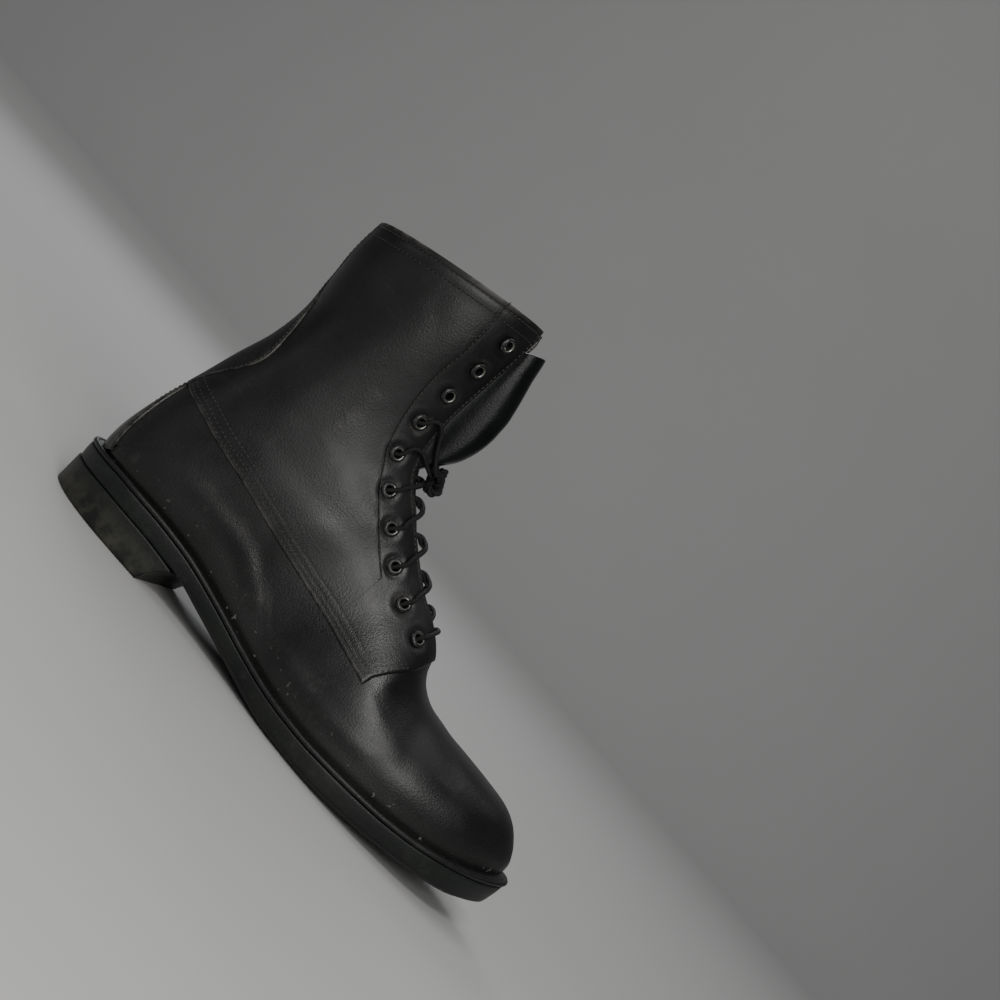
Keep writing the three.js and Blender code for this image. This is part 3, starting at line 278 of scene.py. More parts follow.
def smooth(x, low, high):
    t = np.clip((x - low) / (high - low), 0, 1)
    return t * t * (3 - 2 * t)


def unit(v):
    return v / np.maximum(np.linalg.norm(v, axis=-1, keepdims=True), 1e-12)


def bell(distance, width):
    """1 at no distance, a third at one width, next to nothing past two."""
    return np.exp(-((distance / width) ** 2))


def profile(rows, along_scale=1.0, height_scale=1.0):
    """A smooth function through the rows of a two-column table."""
    x, y = np.array(rows, float).T
    steep = np.diff(y) / np.diff(x)
    middle = np.where(steep[:-1] * steep[1:] <= 0, 0, (steep[:-1] + steep[1:]) / 2)
    slope = np.concatenate([steep[:1], middle, steep[-1:]])

    def at(place):
        p = np.clip(np.asarray(place, float) / along_scale, x[0], x[-1])
        i = np.clip(np.searchsorted(x, p, side="right") - 1, 0, len(x) - 2)
        width = x[i + 1] - x[i]
        t = (p - x[i]) / width
        curve = (1 + 2 * t) * (1 - t) ** 2 * y[i] + t * t * (3 - 2 * t) * y[i + 1]
        curve += t * (1 - t) ** 2 * width * slope[i] + t * t * (t - 1) * width * slope[i + 1]
        return curve * height_scale

    return at


def through(points, samples, closed=False):
    """A centripetal curve through the points, sampled evenly in its own parameter."""
    pts = np.array(points, float)
    count = len(pts)
    if not closed:
        pts = np.vstack([2 * pts[0] - pts[1], pts, 2 * pts[-1] - pts[-2]])
    out = []
    for k in range(samples):
        f = count * k / samples if closed else (count - 1) * k / (samples - 1)
        i = int(f) if closed else min(int(f), count - 2)
        t = f - i
        p = [pts[(i + j) % count] for j in (-1, 0, 1, 2)] if closed else [pts[i + j] for j in range(4)]
        d = [max(np.sum((p[j + 1] - p[j]) ** 2) ** 0.25, 1e-6) for j in range(3)]
        a = ((p[1] - p[0]) / d[0] - (p[2] - p[0]) / (d[0] + d[1]) + (p[2] - p[1]) / d[1]) * d[1]
        b = ((p[2] - p[1]) / d[1] - (p[3] - p[1]) / (d[1] + d[2]) + (p[3] - p[2]) / d[2]) * d[1]
        c = -3 * p[1] + 3 * p[2] - 2 * a - b
        out.append(p[1] + a * t + c * t * t + (2 * p[1] - 2 * p[2] + a + b) * t**3)
    return np.array(out)


def arc_of(points):
    """The length of a polyline up to each of its points."""
    return np.concatenate([[0], np.cumsum(np.linalg.norm(np.diff(points, axis=0), axis=1))])


def sampled(at, arc, points):
    """Points read off a polyline at lengths along it."""
    return np.stack([np.interp(at, arc, column) for column in points.T], -1)


def evenly(points, step):
    """The same polyline with points at an even distance."""
    arc = arc_of(points)
    count = max(int(round(arc[-1] / step)), 2) + 1
    return sampled(np.linspace(0, arc[-1], count), arc, points)


def circle(count, across, other):
    """Points of a circle of radius 1 about the origin, across two directions."""
    turn = np.linspace(0, 2 * math.pi, count, endpoint=False)
    return np.cos(turn)[:, None] * across + np.sin(turn)[:, None] * other


# The sole's outline
welt_top = profile(WELT_TOP, SOLE_LENGTH, SEAT_HEIGHT)
sole_underside = profile(SOLE_UNDERSIDE, SOLE_LENGTH, SEAT_HEIGHT)
feather_inset = profile(FEATHER_INSET, SOLE_LENGTH, 1)
tongue_ridge = profile(TONGUE_RIDGE)
quarter_edge = profile(QUARTER_EDGE, SOLE_LENGTH, COLLAR_HEIGHT)
backstay_edge = profile([(z, x) for x, z in BACKSTAY_EDGE], COLLAR_HEIGHT, SOLE_LENGTH)
OUTLINE_POINTS = [
    (along * SOLE_LENGTH, half * width / 2) for width, stretch in SOLE_OUTLINE for along, half in stretch
]
coarse_outline = through(OUTLINE_POINTS, 240, closed=True)


def inward_of(loop):
    along = unit(np.roll(loop, -1, 0) - np.roll(loop, 1, 0))
    return np.stack([-along[:, 1], along[:, 0]], -1)


def inset_loop(loop, inset):
    return loop + inward_of(loop) * np.reshape(inset, (-1, 1))


def outline_at(loop, x, side):
    """The y of an outline on one side (-1 outer, 1 inner) at a station x."""
    x = float(np.clip(x, loop[:, 0].min() + 1e-3, loop[:, 0].max() - 1e-3))
    p, q = loop, np.roll(loop, -1, 0)
    hit = (p[:, 0] - x) * (q[:, 0] - x) <= 0
    hit &= p[:, 0] != q[:, 0]
    y = p[hit, 1] + (q[hit, 1] - p[hit, 1]) * (x - p[hit, 0]) / (q[hit, 0] - p[hit, 0])
    return side * np.max(side * y)


feather_loop = inset_loop(coarse_outline, feather_inset(coarse_outline[:, 0]))


# The upper's surface
seam_x = profile([(z, x) for x, z in FACING_SEAM[::-1]])


def upper_row(values):
    fx, fz, bx, bz, centre, half, wide, front_round, back_round = values
    front = (fx * SOLE_LENGTH, fz * COLLAR_HEIGHT)
    back_x = bx * SOLE_LENGTH
    back_z = float(welt_top(back_x)) - FEATHER_DROP if bz is None else bz * COLLAR_HEIGHT
    middle = centre * BALL_WIDTH / 2
    if half is not None:
        lateral = medial = half * HEEL_WIDTH / 2
    else:
        share = 0.0
        for _ in range(6):
            share = (float(welt_top(lerp(back_x, front[0], share))) - back_z) / (front[1] - back_z)
        x = lerp(back_x, front[0], share)
        low = min(max(1 - share / wide, 0), 1)
        fullness = (1 - low**back_round) ** (1 / back_round)
        lateral = max(middle - outline_at(feather_loop, x, -1), 3) / fullness
        medial = max(outline_at(feather_loop, x, 1) - middle, 3) / fullness
    return [*front, back_x, back_z, middle, lateral, medial, wide, front_round, back_round]


UPPER = np.array([upper_row(values) for values in UPPER_SECTIONS])


def section(place):
    """The upper's section at a place between its rows, with the columns of UPPER."""
    at = np.clip(np.asarray(place, float), 0, LAST_ROW)
    i = np.minimum(np.floor(at).astype(int), LAST_ROW - 1)
    t = (at - i)[..., None]
    a, b, c, d = (UPPER[np.clip(i + k, 0, LAST_ROW)] for k in (-1, 0, 1, 2))
    v0, v1 = (c - a) / 2, (d - b) / 2
    return b + v0 * t + (3 * (c - b) - 2 * v0 - v1) * t**2 + (2 * (b - c) + v0 + v1) * t**3


def surface(place, angle):
    """A point of the upper. Angle 0 is a section's front, and it grows down the outer side to the back."""
    place, angle = np.broadcast_arrays(np.asarray(place, float), np.asarray(angle, float))
    s = section(place)
    c = np.cos(angle)
    w = np.abs(c)
    n = np.where(c >= 0, s[..., 8], s[..., 9])
    share = s[..., 7] + np.where(c >= 0, 1 - s[..., 7], -s[..., 7]) * w
    side = np.sign(np.sin(angle))
    half = np.where(side >= 0, s[..., 5], s[..., 6])
    y = s[..., 4] - side * half * np.maximum(1 - w**n, 0) ** (1 / n)
    x = lerp(s[..., 2], s[..., 0], share)
    z = lerp(s[..., 3], s[..., 1], share)
    return np.stack([x, y, z], -1)


def normal(place, angle):
    row_step, angle_step = 0.06, 0.05
    low, high = np.clip(place - row_step, 0, LAST_ROW), np.clip(place + row_step, 0, LAST_ROW)
    along_row = surface(high, angle) - surface(low, angle)
    along_angle = surface(place, angle + angle_step) - surface(place, angle - angle_step)
    return unit(np.cross(along_row, along_angle))


def offset_point(place, angle, offset):
    return surface(place, angle) + normal(place, angle) * np.asarray(offset, float)[..., None]


def collar_z(x):
    return COLLAR_HEIGHT + COLLAR_SLOPE * (x - UPPER_SECTIONS[COLLAR_ROW][0] * SOLE_LENGTH)


def full_throat_half(place):
    return lerp(THROAT_HALF_FOOT, THROAT_HALF_TOP, smooth(place, THROAT_START_ROW, THROAT_START_ROW + 6))


def throat_half(place):
    """Half the throat's width, with its round start at the foot."""
    opened = np.clip((place - THROAT_START_ROW) / 0.8, 0, 1)
    return full_throat_half(place) * np.sqrt(1 - (1 - opened) ** 2)


def crossing(places, hand, value):
    """The angle, from the front down one side, where a value of points falls below 0, or else pi."""
    angles = np.linspace(0, math.pi, 721)
    v = value(surface(places[:, None], hand * angles[None, :]), places[:, None])
    below = v < 0
    k = np.clip(np.argmax(below, 1), 1, None)
    rows = np.arange(len(places))
    v0, v1 = v[rows, k - 1], v[rows, k]
    found = angles[k - 1] + (angles[1] - angles[0]) * v0 / np.where(v0 == v1, 1, v0 - v1)
    found = np.where(below[:, 0], 0, found)
    return np.where(below.any(1), found, math.pi)


def throat_angle(places, hand):
    def inside(points, place):
        return throat_half(place) - np.abs(points[..., 1] - section(place)[..., 4])

    return np.where(places <= THROAT_START_ROW, 0, crossing(places, hand, inside))


def ground_angle(places, hand):
    return crossing(places, hand, lambda p, _: p[..., 2] - welt_top(p[..., 0]) - GAP + 0.6)


def quarter_angle(places, hand, lift=0.0):
    return crossing(places, hand, lambda p, _: p[..., 2] - quarter_edge(p[..., 0]) - lift)


def backstay_angle(places, hand):
    return crossing(places, hand, lambda p, _: p[..., 0] - backstay_edge(p[..., 2]))


def rows_between(first, last, count):
    """Places whose rows lie about evenly along the boot."""
    fine = np.linspace(first, last, 600)
    lines = [surface(fine, angle) for angle in (0.0, 1.2, 2.2, math.pi)]
    speed = sum(np.linalg.norm(np.diff(line, axis=0), axis=1) for line in lines)
    arc = np.concatenate([[0], np.cumsum(speed)])
    return np.interp(np.linspace(0, arc[-1], count), arc, fine)


def spread(places, hand, start, end, head, tail, count):
    """A grid of places, angles and distances from both ends of each row.

    head and tail are set distances from the ends, with even steps between. places may be a grid.
    """
    share = np.linspace(0, 1, ROW_SAMPLES)
    angle = lerp(start[:, None], end[:, None], share)
    grid = places if places.ndim == 2 else np.repeat(places[:, None], len(share), 1)
    points = surface(grid, hand * angle)
    arc = np.cumsum(np.linalg.norm(np.diff(points, axis=1), axis=2), 1)
    arc = np.concatenate([np.zeros((len(arc), 1)), arc], 1)
    out = []
    for r in range(len(arc)):
        length = arc[r, -1]
        fit = min(1, 0.5 * length / (head[-1] + tail[-1] + 1e-9))
        at = np.concatenate([
            np.array(head) * fit,
            np.linspace(head[-1] * fit, length - tail[-1] * fit, count)[1:-1],
            length - np.array(tail[::-1]) * fit,
        ])
        out.append((np.interp(at, arc[r], grid[r]), np.interp(at, arc[r], angle[r]), at, length - at))
    return [np.array(column) for column in zip(*out)]


# From side view back to a place on the surface
PLACE_SCAN = np.linspace(0.5, COLLAR_ROW + 0.6, 2400)
SCAN_SECTION = section(PLACE_SCAN)


def from_side(x, z):
    """The row place and angle of a point of the side view."""
    front, back = SCAN_SECTION[:, 0:2], SCAN_SECTION[:, 2:4]
    line = front - back
    to = np.array([x, z]) - back
    off = (line[:, 0] * to[:, 1] - line[:, 1] * to[:, 0]) / np.linalg.norm(line, axis=1)
    share = np.sum(to * line, 1) / np.sum(line * line, 1)
    good = (share > -0.02) & (share < 1.02)
    k = np.argmin(np.where(good, np.abs(off), 1e6))
    wide = SCAN_SECTION[k, 7]
    t = np.clip(share[k], 0, 1)
    w = (t - wide) / (1 - wide) if t >= wide else (wide - t) / wide
    angle = math.acos(np.clip(w, 0, 1))
    return PLACE_SCAN[k], angle if t >= wide else math.pi - angle


def side_distance(points, line):
    """Distance in side view from points to a polyline, and the share of the way along it."""
    xz = points[..., [0, 2]].reshape(-1, 2)
    best = np.full(len(xz), 1e9)
    where = np.zeros(len(xz))
    for k in range(len(line) - 1):
        a, b = line[k], line[k + 1]
        d = b - a
        t = np.clip(((xz - a) @ d) / (d @ d), 0, 1)
        gap = np.linalg.norm(xz - a - t[:, None] * d, axis=1)
        nearer = gap < best
        best = np.where(nearer, gap, best)
        where = np.where(nearer, (k + t) / (len(line) - 1), where)
    return best.reshape(points.shape[:-1]), where.reshape(points.shape[:-1])


def crease_offset(points):
    """Soft troughs, each with a low swell on both sides."""
    total = np.zeros(points.shape[:-1])
    for line, depth, width in CREASES:
        gap, where = side_distance(points, through(line, 14))
        taper = np.sqrt(np.clip(4 * where * (1 - where), 0, 1))
        total -= depth * taper * bell(gap, width) * (1 - 0.9 * (gap / width) ** 2)
    return total


def facing_seam_gap(points):
    """Distance in side view from the facing's seam, negative in front of it."""
    gap, _ = side_distance(points, through(FACING_SEAM, 40))
    behind = points[..., 0] < seam_x(points[..., 2])
    return np.where(behind, gap, -gap)


# How strongly the worn spots show at points: partly real wear, partly painted highlights
def wear_and_sheen_at(points):
    total = np.zeros(points.shape[:-1])
    for x, z, radius, strength in WORN_AND_SHEEN_SPOTS:
        gap = np.hypot(points[..., 0] - x, points[..., 2] - z)
        total = np.maximum(total, strength * bell(gap, radius))
    return total


# Eyelet places
def facing(place, hand, distance, offset):
    """A point and its normal on the facing, a distance back from its edge."""
    angles = np.arange(0.01, math.pi / 2, 0.01)
    points = offset_point(place, hand * angles, offset)
    first = int(np.argmax(np.abs(points[:, 1] - section(place)[4]) >= throat_half(place)))
    arc = arc_of(points[first:])
    at = float(np.interp(distance, arc, angles[first:]))
    return sampled(distance, arc, points[first:]), normal(place, hand * at)


def eyelet_rows():
    rows, wanted, travelled, step = [], EYELET_FROM_COLLAR, 0.0, 0.04
    before = facing(COLLAR_ROW, LATERAL, EYELET_SETBACK, QUARTER_STEP)[0]
    for place in np.arange(COLLAR_ROW - step, THROAT_START_ROW, -step):
        point = facing(place, LATERAL, EYELET_SETBACK, QUARTER_STEP)[0]
        gap = float(np.linalg.norm(point - before))
        if travelled + gap >= wanted:
            rows.append(place + step * (1 - (wanted - travelled) / gap))
            wanted += EYELET_PITCH
        travelled += gap
        before = point
        if len(rows) == EYELET_COUNT:
            break
    return rows


EYELET_ROWS = eyelet_rows()
EYELETS = [
    (f"eyelet_{name}_{i + 1}", *facing(row, hand, EYELET_SETBACK, QUARTER_STEP))
    for name, hand in HANDS.items()
    for i, row in enumerate(EYELET_ROWS)
]
EYELET_POINTS = np.array([point for _, point, _ in EYELETS])


def eyelet_gap(points):
    """Distance from the nearest eyelet."""
    gap = np.full(points.shape[:-1], 1e9)
    for point in EYELET_POINTS:
        gap = np.minimum(gap, np.linalg.norm(points - point, axis=-1))
    return gap


# Meshes
def to_row_frame(points):
    return (np.asarray(points, float) - [SOLE_LENGTH / 2, 0, 0]) / 1000


def add_piece(name, points, faces, material, replaces=(), values=None, weld=0.02):
    """A smooth mesh piece that rides on the root body. values are named numbers, one for each point."""
    mesh = bpy.data.meshes.new(name)
    mesh.from_pydata(to_row_frame(points).tolist(), [], [list(map(int, f)) for f in faces])
    for key, numbers in (values or {}).items():
        layer = mesh.attributes.new(key, "FLOAT", "POINT")
        layer.data.foreach_set("value", np.asarray(numbers, np.float32).ravel())
    bm = bmesh.new()
    bm.from_mesh(mesh)
    if weld:
        bmesh.ops.remove_doubles(bm, verts=bm.verts, dist=weld / 1000)
        bmesh.ops.dissolve_degenerate(bm, edges=bm.edges, dist=weld / 5000)
    bmesh.ops.recalc_face_normals(bm, faces=bm.faces)
    bm.to_mesh(mesh)
    bm.free()
    mesh.polygons.foreach_set("use_smooth", [True] * len(mesh.polygons))
    mesh.materials.append(material)
    obj = bpy.data.objects.new(name, mesh)
    bpy.context.scene.collection.objects.link(obj)
    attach(obj, "root")
    if replaces:
        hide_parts(*replaces)
    return obj


def grid_faces(rows, columns, first=0, wrap=False):
    """Quads between the rows of a grid of points. With wrap, each row closes into a loop."""
    r, c = np.meshgrid(np.arange(rows - 1), np.arange(columns if wrap else columns - 1), indexing="ij")
    here, next_row, after = r * columns, (r + 1) * columns, (c + 1) % columns
    quads = np.stack([here + c, here + after, next_row + after, next_row + c], -1)
    return quads.reshape(-1, 4) + first


def both_sides(grid_of):
    """Points, faces and values of the grids that a function gives for each side."""
    points, faces, values, first = [], [], {}, 0
    for grid, numbers in map(grid_of, HANDS.values()):
        rows, columns = grid.shape[:2]
        points.append(grid.reshape(-1, 3))
        faces.append(grid_faces(rows, columns, first))
        for key, column in numbers.items():
            values.setdefault(key, []).append(np.broadcast_to(column, (rows, columns)).ravel())
        first += rows * columns
    return np.vstack(points), np.vstack(faces), {key: np.concatenate(v) for key, v in values.items()}


def rounded(distance, radius):
    """How far a rounded edge has fallen away at a distance from it."""
    d = np.clip(distance, 0, radius)
    return radius - np.sqrt(np.maximum(radius**2 - (radius - d) ** 2, 0))


# Leather upper
def vamp_grid(hand):
    places = rows_between(0, VAMP_LAST_ROW, VAMP_ROW_COUNT)
    under_quarter = smooth(places, 11.3, 12.4)
    start = lerp(throat_angle(places, hand), quarter_angle(places, hand, 9.0), under_quarter)
    end = ground_angle(places, hand)
    start = np.minimum(start, end - 0.01)
    place, angle, _, above = spread(places, hand, start, end, [0, 0.5], [0, 0.6, 1.4, 2.4], 78)
    base = surface(place, hand * angle)
    covered = base[..., 2] - quarter_edge(base[..., 0])
    tuck = 0.6 * bell(above, 2.2) * (angle < math.pi - 0.01)
    offset = crease_offset(base) - 0.25 * smooth(covered, 1.0, 6.0) - tuck
    low = np.exp(-above / 6) * (end < math.pi - 0.01)[:, None]
    return offset_point(place, hand * angle, offset), {"wear_and_sheen": wear_and_sheen_at(base), "low": low}


def make_vamp():
    """The two sides, and a fan that closes the gap where their first rows meet at the toe."""
    points, faces, values = both_sides(vamp_grid)
    outer, inner = points.reshape(2, VAMP_ROW_COUNT, -1, 3)
    cap = np.vstack([outer[0], inner[0][::-1]])
    middle = cap.mean(0) + [0.3, 0, 0]
    first = len(points)
    points = np.vstack([points, cap, middle])
    fan = [[first + i, first + i + 1, len(points) - 1] for i in range(len(cap) - 1)]
    values = {key: np.concatenate([v, np.zeros(len(cap) + 1)]) for key, v in values.items()}
    return add_piece("vamp", points, [*faces, *fan], LEATHER, ["upper"], values)


def tab_warp(places, hand):
    """The first rows of the quarter bend from its front tab's outline to plain section rows."""
    tab = np.array([from_side(x * SOLE_LENGTH, z * COLLAR_HEIGHT) for x, z in QUARTER_TAB])
    start = throat_angle(tab[:1, 0], hand)[0]
    share = np.clip((tab[:, 1] - start) / (tab[-1, 1] - start), 0, 1)
    fade = 1 - smooth(places, QUARTER_FIRST_ROW, QUARTER_FIRST_ROW + 1)
    bend = np.interp(np.linspace(0, 1, ROW_SAMPLES), share, tab[:, 0]) - QUARTER_FIRST_ROW
    return places[:, None] + fade[:, None] * bend


def quarter_grid(hand):
    nominal = rows_between(QUARTER_FIRST_ROW, COLLAR_ROW - 0.12, 196)
    nominal = np.concatenate([nominal, COLLAR_ROW - np.array([0.07, 0.04, 0.02, 0.01, 0.0])])
    grid = tab_warp(nominal, hand)
    start = throat_angle(grid[:, 0], hand)
    end = quarter_angle(grid[:, -1], hand)
    head, tail = [0, 0.12, 0.3, 0.6, 1.0, 1.6], [0, 0.1, 0.25, 0.5, 0.9, 1.5]
    place, angle, inset, above = spread(grid, hand, start, end, head, tail, 108)
    base = surface(place, hand * angle)
    has_edge = (end < math.pi - 1e-6)[:, None]
    lower = np.where(has_edge, above, 50.0)
    gaps = {
        "collar": collar_z(base[..., 0]) - base[..., 2], "facing edge": inset, "lower edge": lower,
        "eyelet": eyelet_gap(offset_point(place, hand * angle, QUARTER_STEP)),
        "facing seam": facing_seam_gap(base),
    }
    front_or_lower = np.minimum(lower, np.linalg.norm(base - base[:1], axis=2))
    offset = QUARTER_STEP - rounded(inset, 0.8) - rounded(front_or_lower, 0.55) * 1.6
    offset += crease_offset(base) * smooth(inset, 4, 14)
    for name, at, width, height in QUARTER_RELIEF:
        offset += height * bell(gaps[name] - at, width)

    # Turned edges: offsets of the columns added at the facing and below, and of the rows at both ends
    facing_edge, lower_edge = [-WALL, -1.0, 0.0], [0.35, -0.1, -0.35]
    front_edge, collar_edge = np.array([[-0.2], [0.25]]), np.array([[0.75], [0.0], [-1.0], [-1.6], [-WALL]])
    border = ((len(front_edge), len(collar_edge)), (len(facing_edge), len(lower_edge)))
    place, angle = (np.pad(column, border, mode="edge") for column in (place, angle))
    place[-1] = np.minimum(place[-1], COLLAR_ROW - 0.03)
    facing_columns = np.repeat([facing_edge], len(offset), 0)
    lower_columns = np.where(has_edge, lower_edge, offset[:, -1:])
    offset = np.concatenate([facing_columns, offset, lower_columns], 1)
    offset = np.concatenate([
        np.minimum(offset[:1], front_edge), offset, np.minimum(offset[-1:], collar_edge),
    ])
    points = offset_point(place, hand * angle, offset)
    base = surface(place, hand * angle)
    below_collar = collar_z(base[..., 0]) - base[..., 2]
    edge = np.pad(np.exp(-np.minimum(inset, lower) / 0.9), border, mode="edge")
    values = {
        "wear_and_sheen": np.maximum(wear_and_sheen_at(base), 0.9 * bell(eyelet_gap(points) - 5.4, 1.6)),
        "edge": np.maximum(edge, np.exp(-below_collar / 0.8)),
        "seam": facing_seam_gap(base) + LINE_ZERO,
        "collar": below_collar + LINE_ZERO,
    }
    return points, values


def backstay_grid(hand):
    places = rows_between(BACKSTAY_FIRST_ROW, COLLAR_ROW - 0.02, 170)
    places = np.concatenate([places, [COLLAR_ROW - 0.01, COLLAR_ROW]])
    end = ground_angle(places, hand)
    start = np.minimum(backstay_angle(places, hand), end - 0.004)
    place, angle, inset, _ = spread(places, hand, start, end, [0, 0.15, 0.35, 0.7, 1.2], [0, 0.5], 22)
    base = surface(place, hand * angle)
    from_top = np.linalg.norm(base - base[-1:], axis=2)
    under_quarter = base[..., 2] < quarter_edge(base[..., 0])
    offset = BACKSTAY_STEP - 0.5 - rounded(inset, 0.6) - 0.18 * bell(inset - 1.9, 0.7)
    offset -= rounded(from_top, 1.0) + 0.32 * under_quarter

    # Turned edges: offsets of the added columns at the front edge and of the rows at the top
    front_edge, top_edge = [-0.1, 0.6, 1.2], [[0.4], [-0.8]]
    border = ((0, len(top_edge)), (len(front_edge), 0))
    place, angle = (np.pad(column, border, mode="edge") for column in (place, angle))
    offset = np.concatenate([np.repeat([front_edge], len(offset), 0), offset], 1)
    offset = np.concatenate([offset, np.minimum(offset[-1:], top_edge)])
    edge = np.pad(np.exp(-inset / 0.9), border, mode="edge")
    return offset_point(place, hand * angle, offset), {"wear_and_sheen": 0.35, "edge": edge}


def lining_grid(hand):
    places = rows_between(LINING_FIRST_ROW, COLLAR_ROW - 0.03, 170)
    start, end = throat_angle(places, hand), ground_angle(places, hand)
    place, angle, _, _ = spread(places, hand, start, end, [0, 0.8], [0, 1.0], 60)
    creases = crease_offset(surface(place, hand * angle)) * 0.5 * smooth(place, 11, 12)
    return offset_point(place, hand * angle, creases - WALL), {}


def make_leather(name, grid_of, material, hole_radius=0.0):
    """Both sides of a piece, without the faces in the eyelets' holes."""
    points, faces, values = both_sides(grid_of)
    faces = faces[eyelet_gap(points[faces].mean(1)) > hole_radius]
    return add_piece(name, points, faces, material, [], values)


# Tongue
def tongue_section(place):
    """The outer and inner line of one section: wings under the facings, and a ridge that stands out."""
    s = section(place)
    front, back, centre = s[0:2], s[2:4], s[4]
    out = unit(front - back)
    climb = smooth(place, TONGUE_START_ROW, THROAT_START_ROW + 5)
    wing = lerp(TONGUE_HALF_FOOT, TONGUE_HALF_TOP, climb)
    neck = full_throat_half(place) - TONGUE_GAP
    angles = np.linspace(0.01, math.pi / 2, 160)

    def inside_at(y, hand):
        line = offset_point(place, hand * angles, -(WALL + TONGUE_CLEARANCE))
        level = (line[:, [0, 2]] - front) @ out
        return float(np.interp(y, np.abs(line[:, 1] - centre), level))

    opened = smooth(place, THROAT_START_ROW, THROAT_START_ROW + 0.8)
    ridge = lerp(inside_at(0.5, LATERAL), float(tongue_ridge(place)), opened)

    def flank(hand):
        level = inside_at(neck, hand)
        rise = ridge - level
        side = -hand
        return [
            (side * wing, inside_at(wing, hand)),
            (side * (wing + neck) / 2, inside_at((wing + neck) / 2, hand)),
            (side * (neck + 1.2), inside_at(neck + 1.2, hand)),
            (side * neck, level + max(rise, 0) * 0.12),
            (side * neck * 0.98, level + rise * 0.45),
            (side * neck * 0.84, level + rise * 0.76),
            (side * neck * 0.5, level + rise * 0.95),
        ]

    outer = through([*flank(LATERAL), (0, ridge), *flank(MEDIAL)[::-1]], 85)
    along = unit(np.gradient(outer, axis=0))
    inner = outer + np.stack([along[:, 1], -along[:, 0]], -1) * TONGUE_WALL

    def placed(line):
        xz = front + line[:, 1:2] * out
        return np.stack([xz[:, 0], centre + line[:, 0], xz[:, 1]], -1)

    return placed(outer), placed(inner)


def make_tongue():
    places = np.concatenate([
        np.linspace(TONGUE_START_ROW, 17.2, 46)[:-1], np.linspace(17.2, 19.2, 40)[:-1],
        np.linspace(19.2, TONGUE_END_ROW - 0.05, 60), TONGUE_END_ROW - np.array([0.03, 0.015, 0.0]),
    ])
    outer, inner = (np.array(side) for side in zip(*[tongue_section(p) for p in places]))
    thin = np.concatenate([np.zeros(len(places) - 4), [0.06, 0.18, 0.32, 0.46]])[:, None, None]
    outer, inner = lerp(outer, inner, thin), lerp(inner, outer, thin)
    ring = np.concatenate([outer, inner[:, ::-1]], 1)
    rows, columns = ring.shape[:2]
    faces = [grid_faces(rows, columns, wrap=True)]
    half = outer.shape[1]
    for row in (0, rows - 1):
        first = row * columns
        a = first + np.arange(half - 1)
        b = first + columns - 1 - np.arange(half - 1)
        faces.append(np.stack([a, a + 1, b - 1, b], -1))
    points, faces = ring.reshape(-1, 3), np.vstack(faces)
    return add_piece("tongue_leather", points, faces, TONGUE, ["tongue"], weld=0)


# Rubber: loops round the outline
closed_outline = np.vstack([through(OUTLINE_POINTS, 1200, closed=True), [OUTLINE_POINTS[0]]])
fine_outline = evenly(closed_outline, 1.9)[:-1]


def spine_of(loop):
    """For each point of a loop, the point on the middle line that lies across from it."""
    heel_end, toe_end = 26, SOLE_LENGTH - 30
    x = np.clip(loop[:, 0], heel_end, toe_end)
    y = np.array([(outline_at(loop, v, -1) + outline_at(loop, v, 1)) / 2 for v in x])
    return np.stack([x, y], -1)


def loop_body(loops):
    """Points and faces through closed loops, first to last."""
    count = len(loops[0])
    return np.vstack(loops), grid_faces(len(loops), count, wrap=True)


def with_z(loop, z):
    """A plan loop with a height for all its points, or one for each."""
    return np.column_stack([loop, np.broadcast_to(z, len(loop))])


def loops_inward(edge, middle, shares, height):
    """Loops at shares of the way from an edge to its middle line, at the height of their points."""
    inner = [lerp(edge, middle, share) for share in shares]
    return [with_z(xy, height(xy)) for xy in inner]


def groove_depth(xy, grooves):
    x, y = xy[:, 0], np.abs(xy[:, 1])
    depth = np.zeros(len(x))
    for i in range(grooves["count"]):
        start = grooves["first"] * SOLE_LENGTH + i * GROOVE_PITCH + GROOVE_RAKE * (1 - y / grooves["half"])
        end = start + GROOVE_WIDTH
        inside = smooth(x, start - 1.1, start + 0.9) * (1 - smooth(x, end - 0.9, end + 1.1))
        inside *= 1 - smooth(y, grooves["half"] - 2.2, grooves["half"])
        depth = np.maximum(depth, GROOVE_DEPTH * inside)
    return depth


def make_outsole():
    loop, spine = fine_outline, spine_of(fine_outline)
    top = welt_top(loop[:, 0]) - WELT_THICKNESS - GAP
    under = sole_underside(loop[:, 0])
    lift = 3.4 * smooth(loop[:, 0], 0.22 * SOLE_LENGTH, 0.33 * SOLE_LENGTH)
    cover = inset_loop(loop, 1.0)
    loops = loops_inward(cover, spine, (1.0, 0.7, 0.35, 0.1, 0.0), lambda _: top)
    for inset, level in SOLE_WALL:
        loops.append(with_z(inset_loop(loop, inset), lerp(under + lift, top, level)))
    edge_width = 8
    for share in (0.15, 0.35, 0.6, 0.8, 1.0):
        fall = lift * (1 - math.sin(share * math.pi / 2))
        loops.append(with_z(inset_loop(loop, SOLE_WALL[-1][0] + edge_width * share), under + fall))

    def grooved(xy):
        return sole_underside(xy[:, 0]) + groove_depth(xy, BALL_GROOVES)

    tread = inset_loop(loop, SOLE_WALL[-1][0] + edge_width)
    loops += loops_inward(tread, spine, np.linspace(0, 1, 36)[1:], grooved)
    points, faces = loop_body(loops)
    return add_piece("sole_rubber", points, faces, RUBBER, ["outsole"])


def make_welt():
    loop = inset_loop(fine_outline, -WELT_LIP)
    high = welt_top(loop[:, 0])
    low = high - WELT_THICKNESS
    loops = [with_z(inset_loop(loop, inset), lerp(low, high, level)) for inset, level in WELT_SECTION]
    points, faces = loop_body(loops)
    return add_piece("welt_rubber", points, faces, WELT, ["welt"])


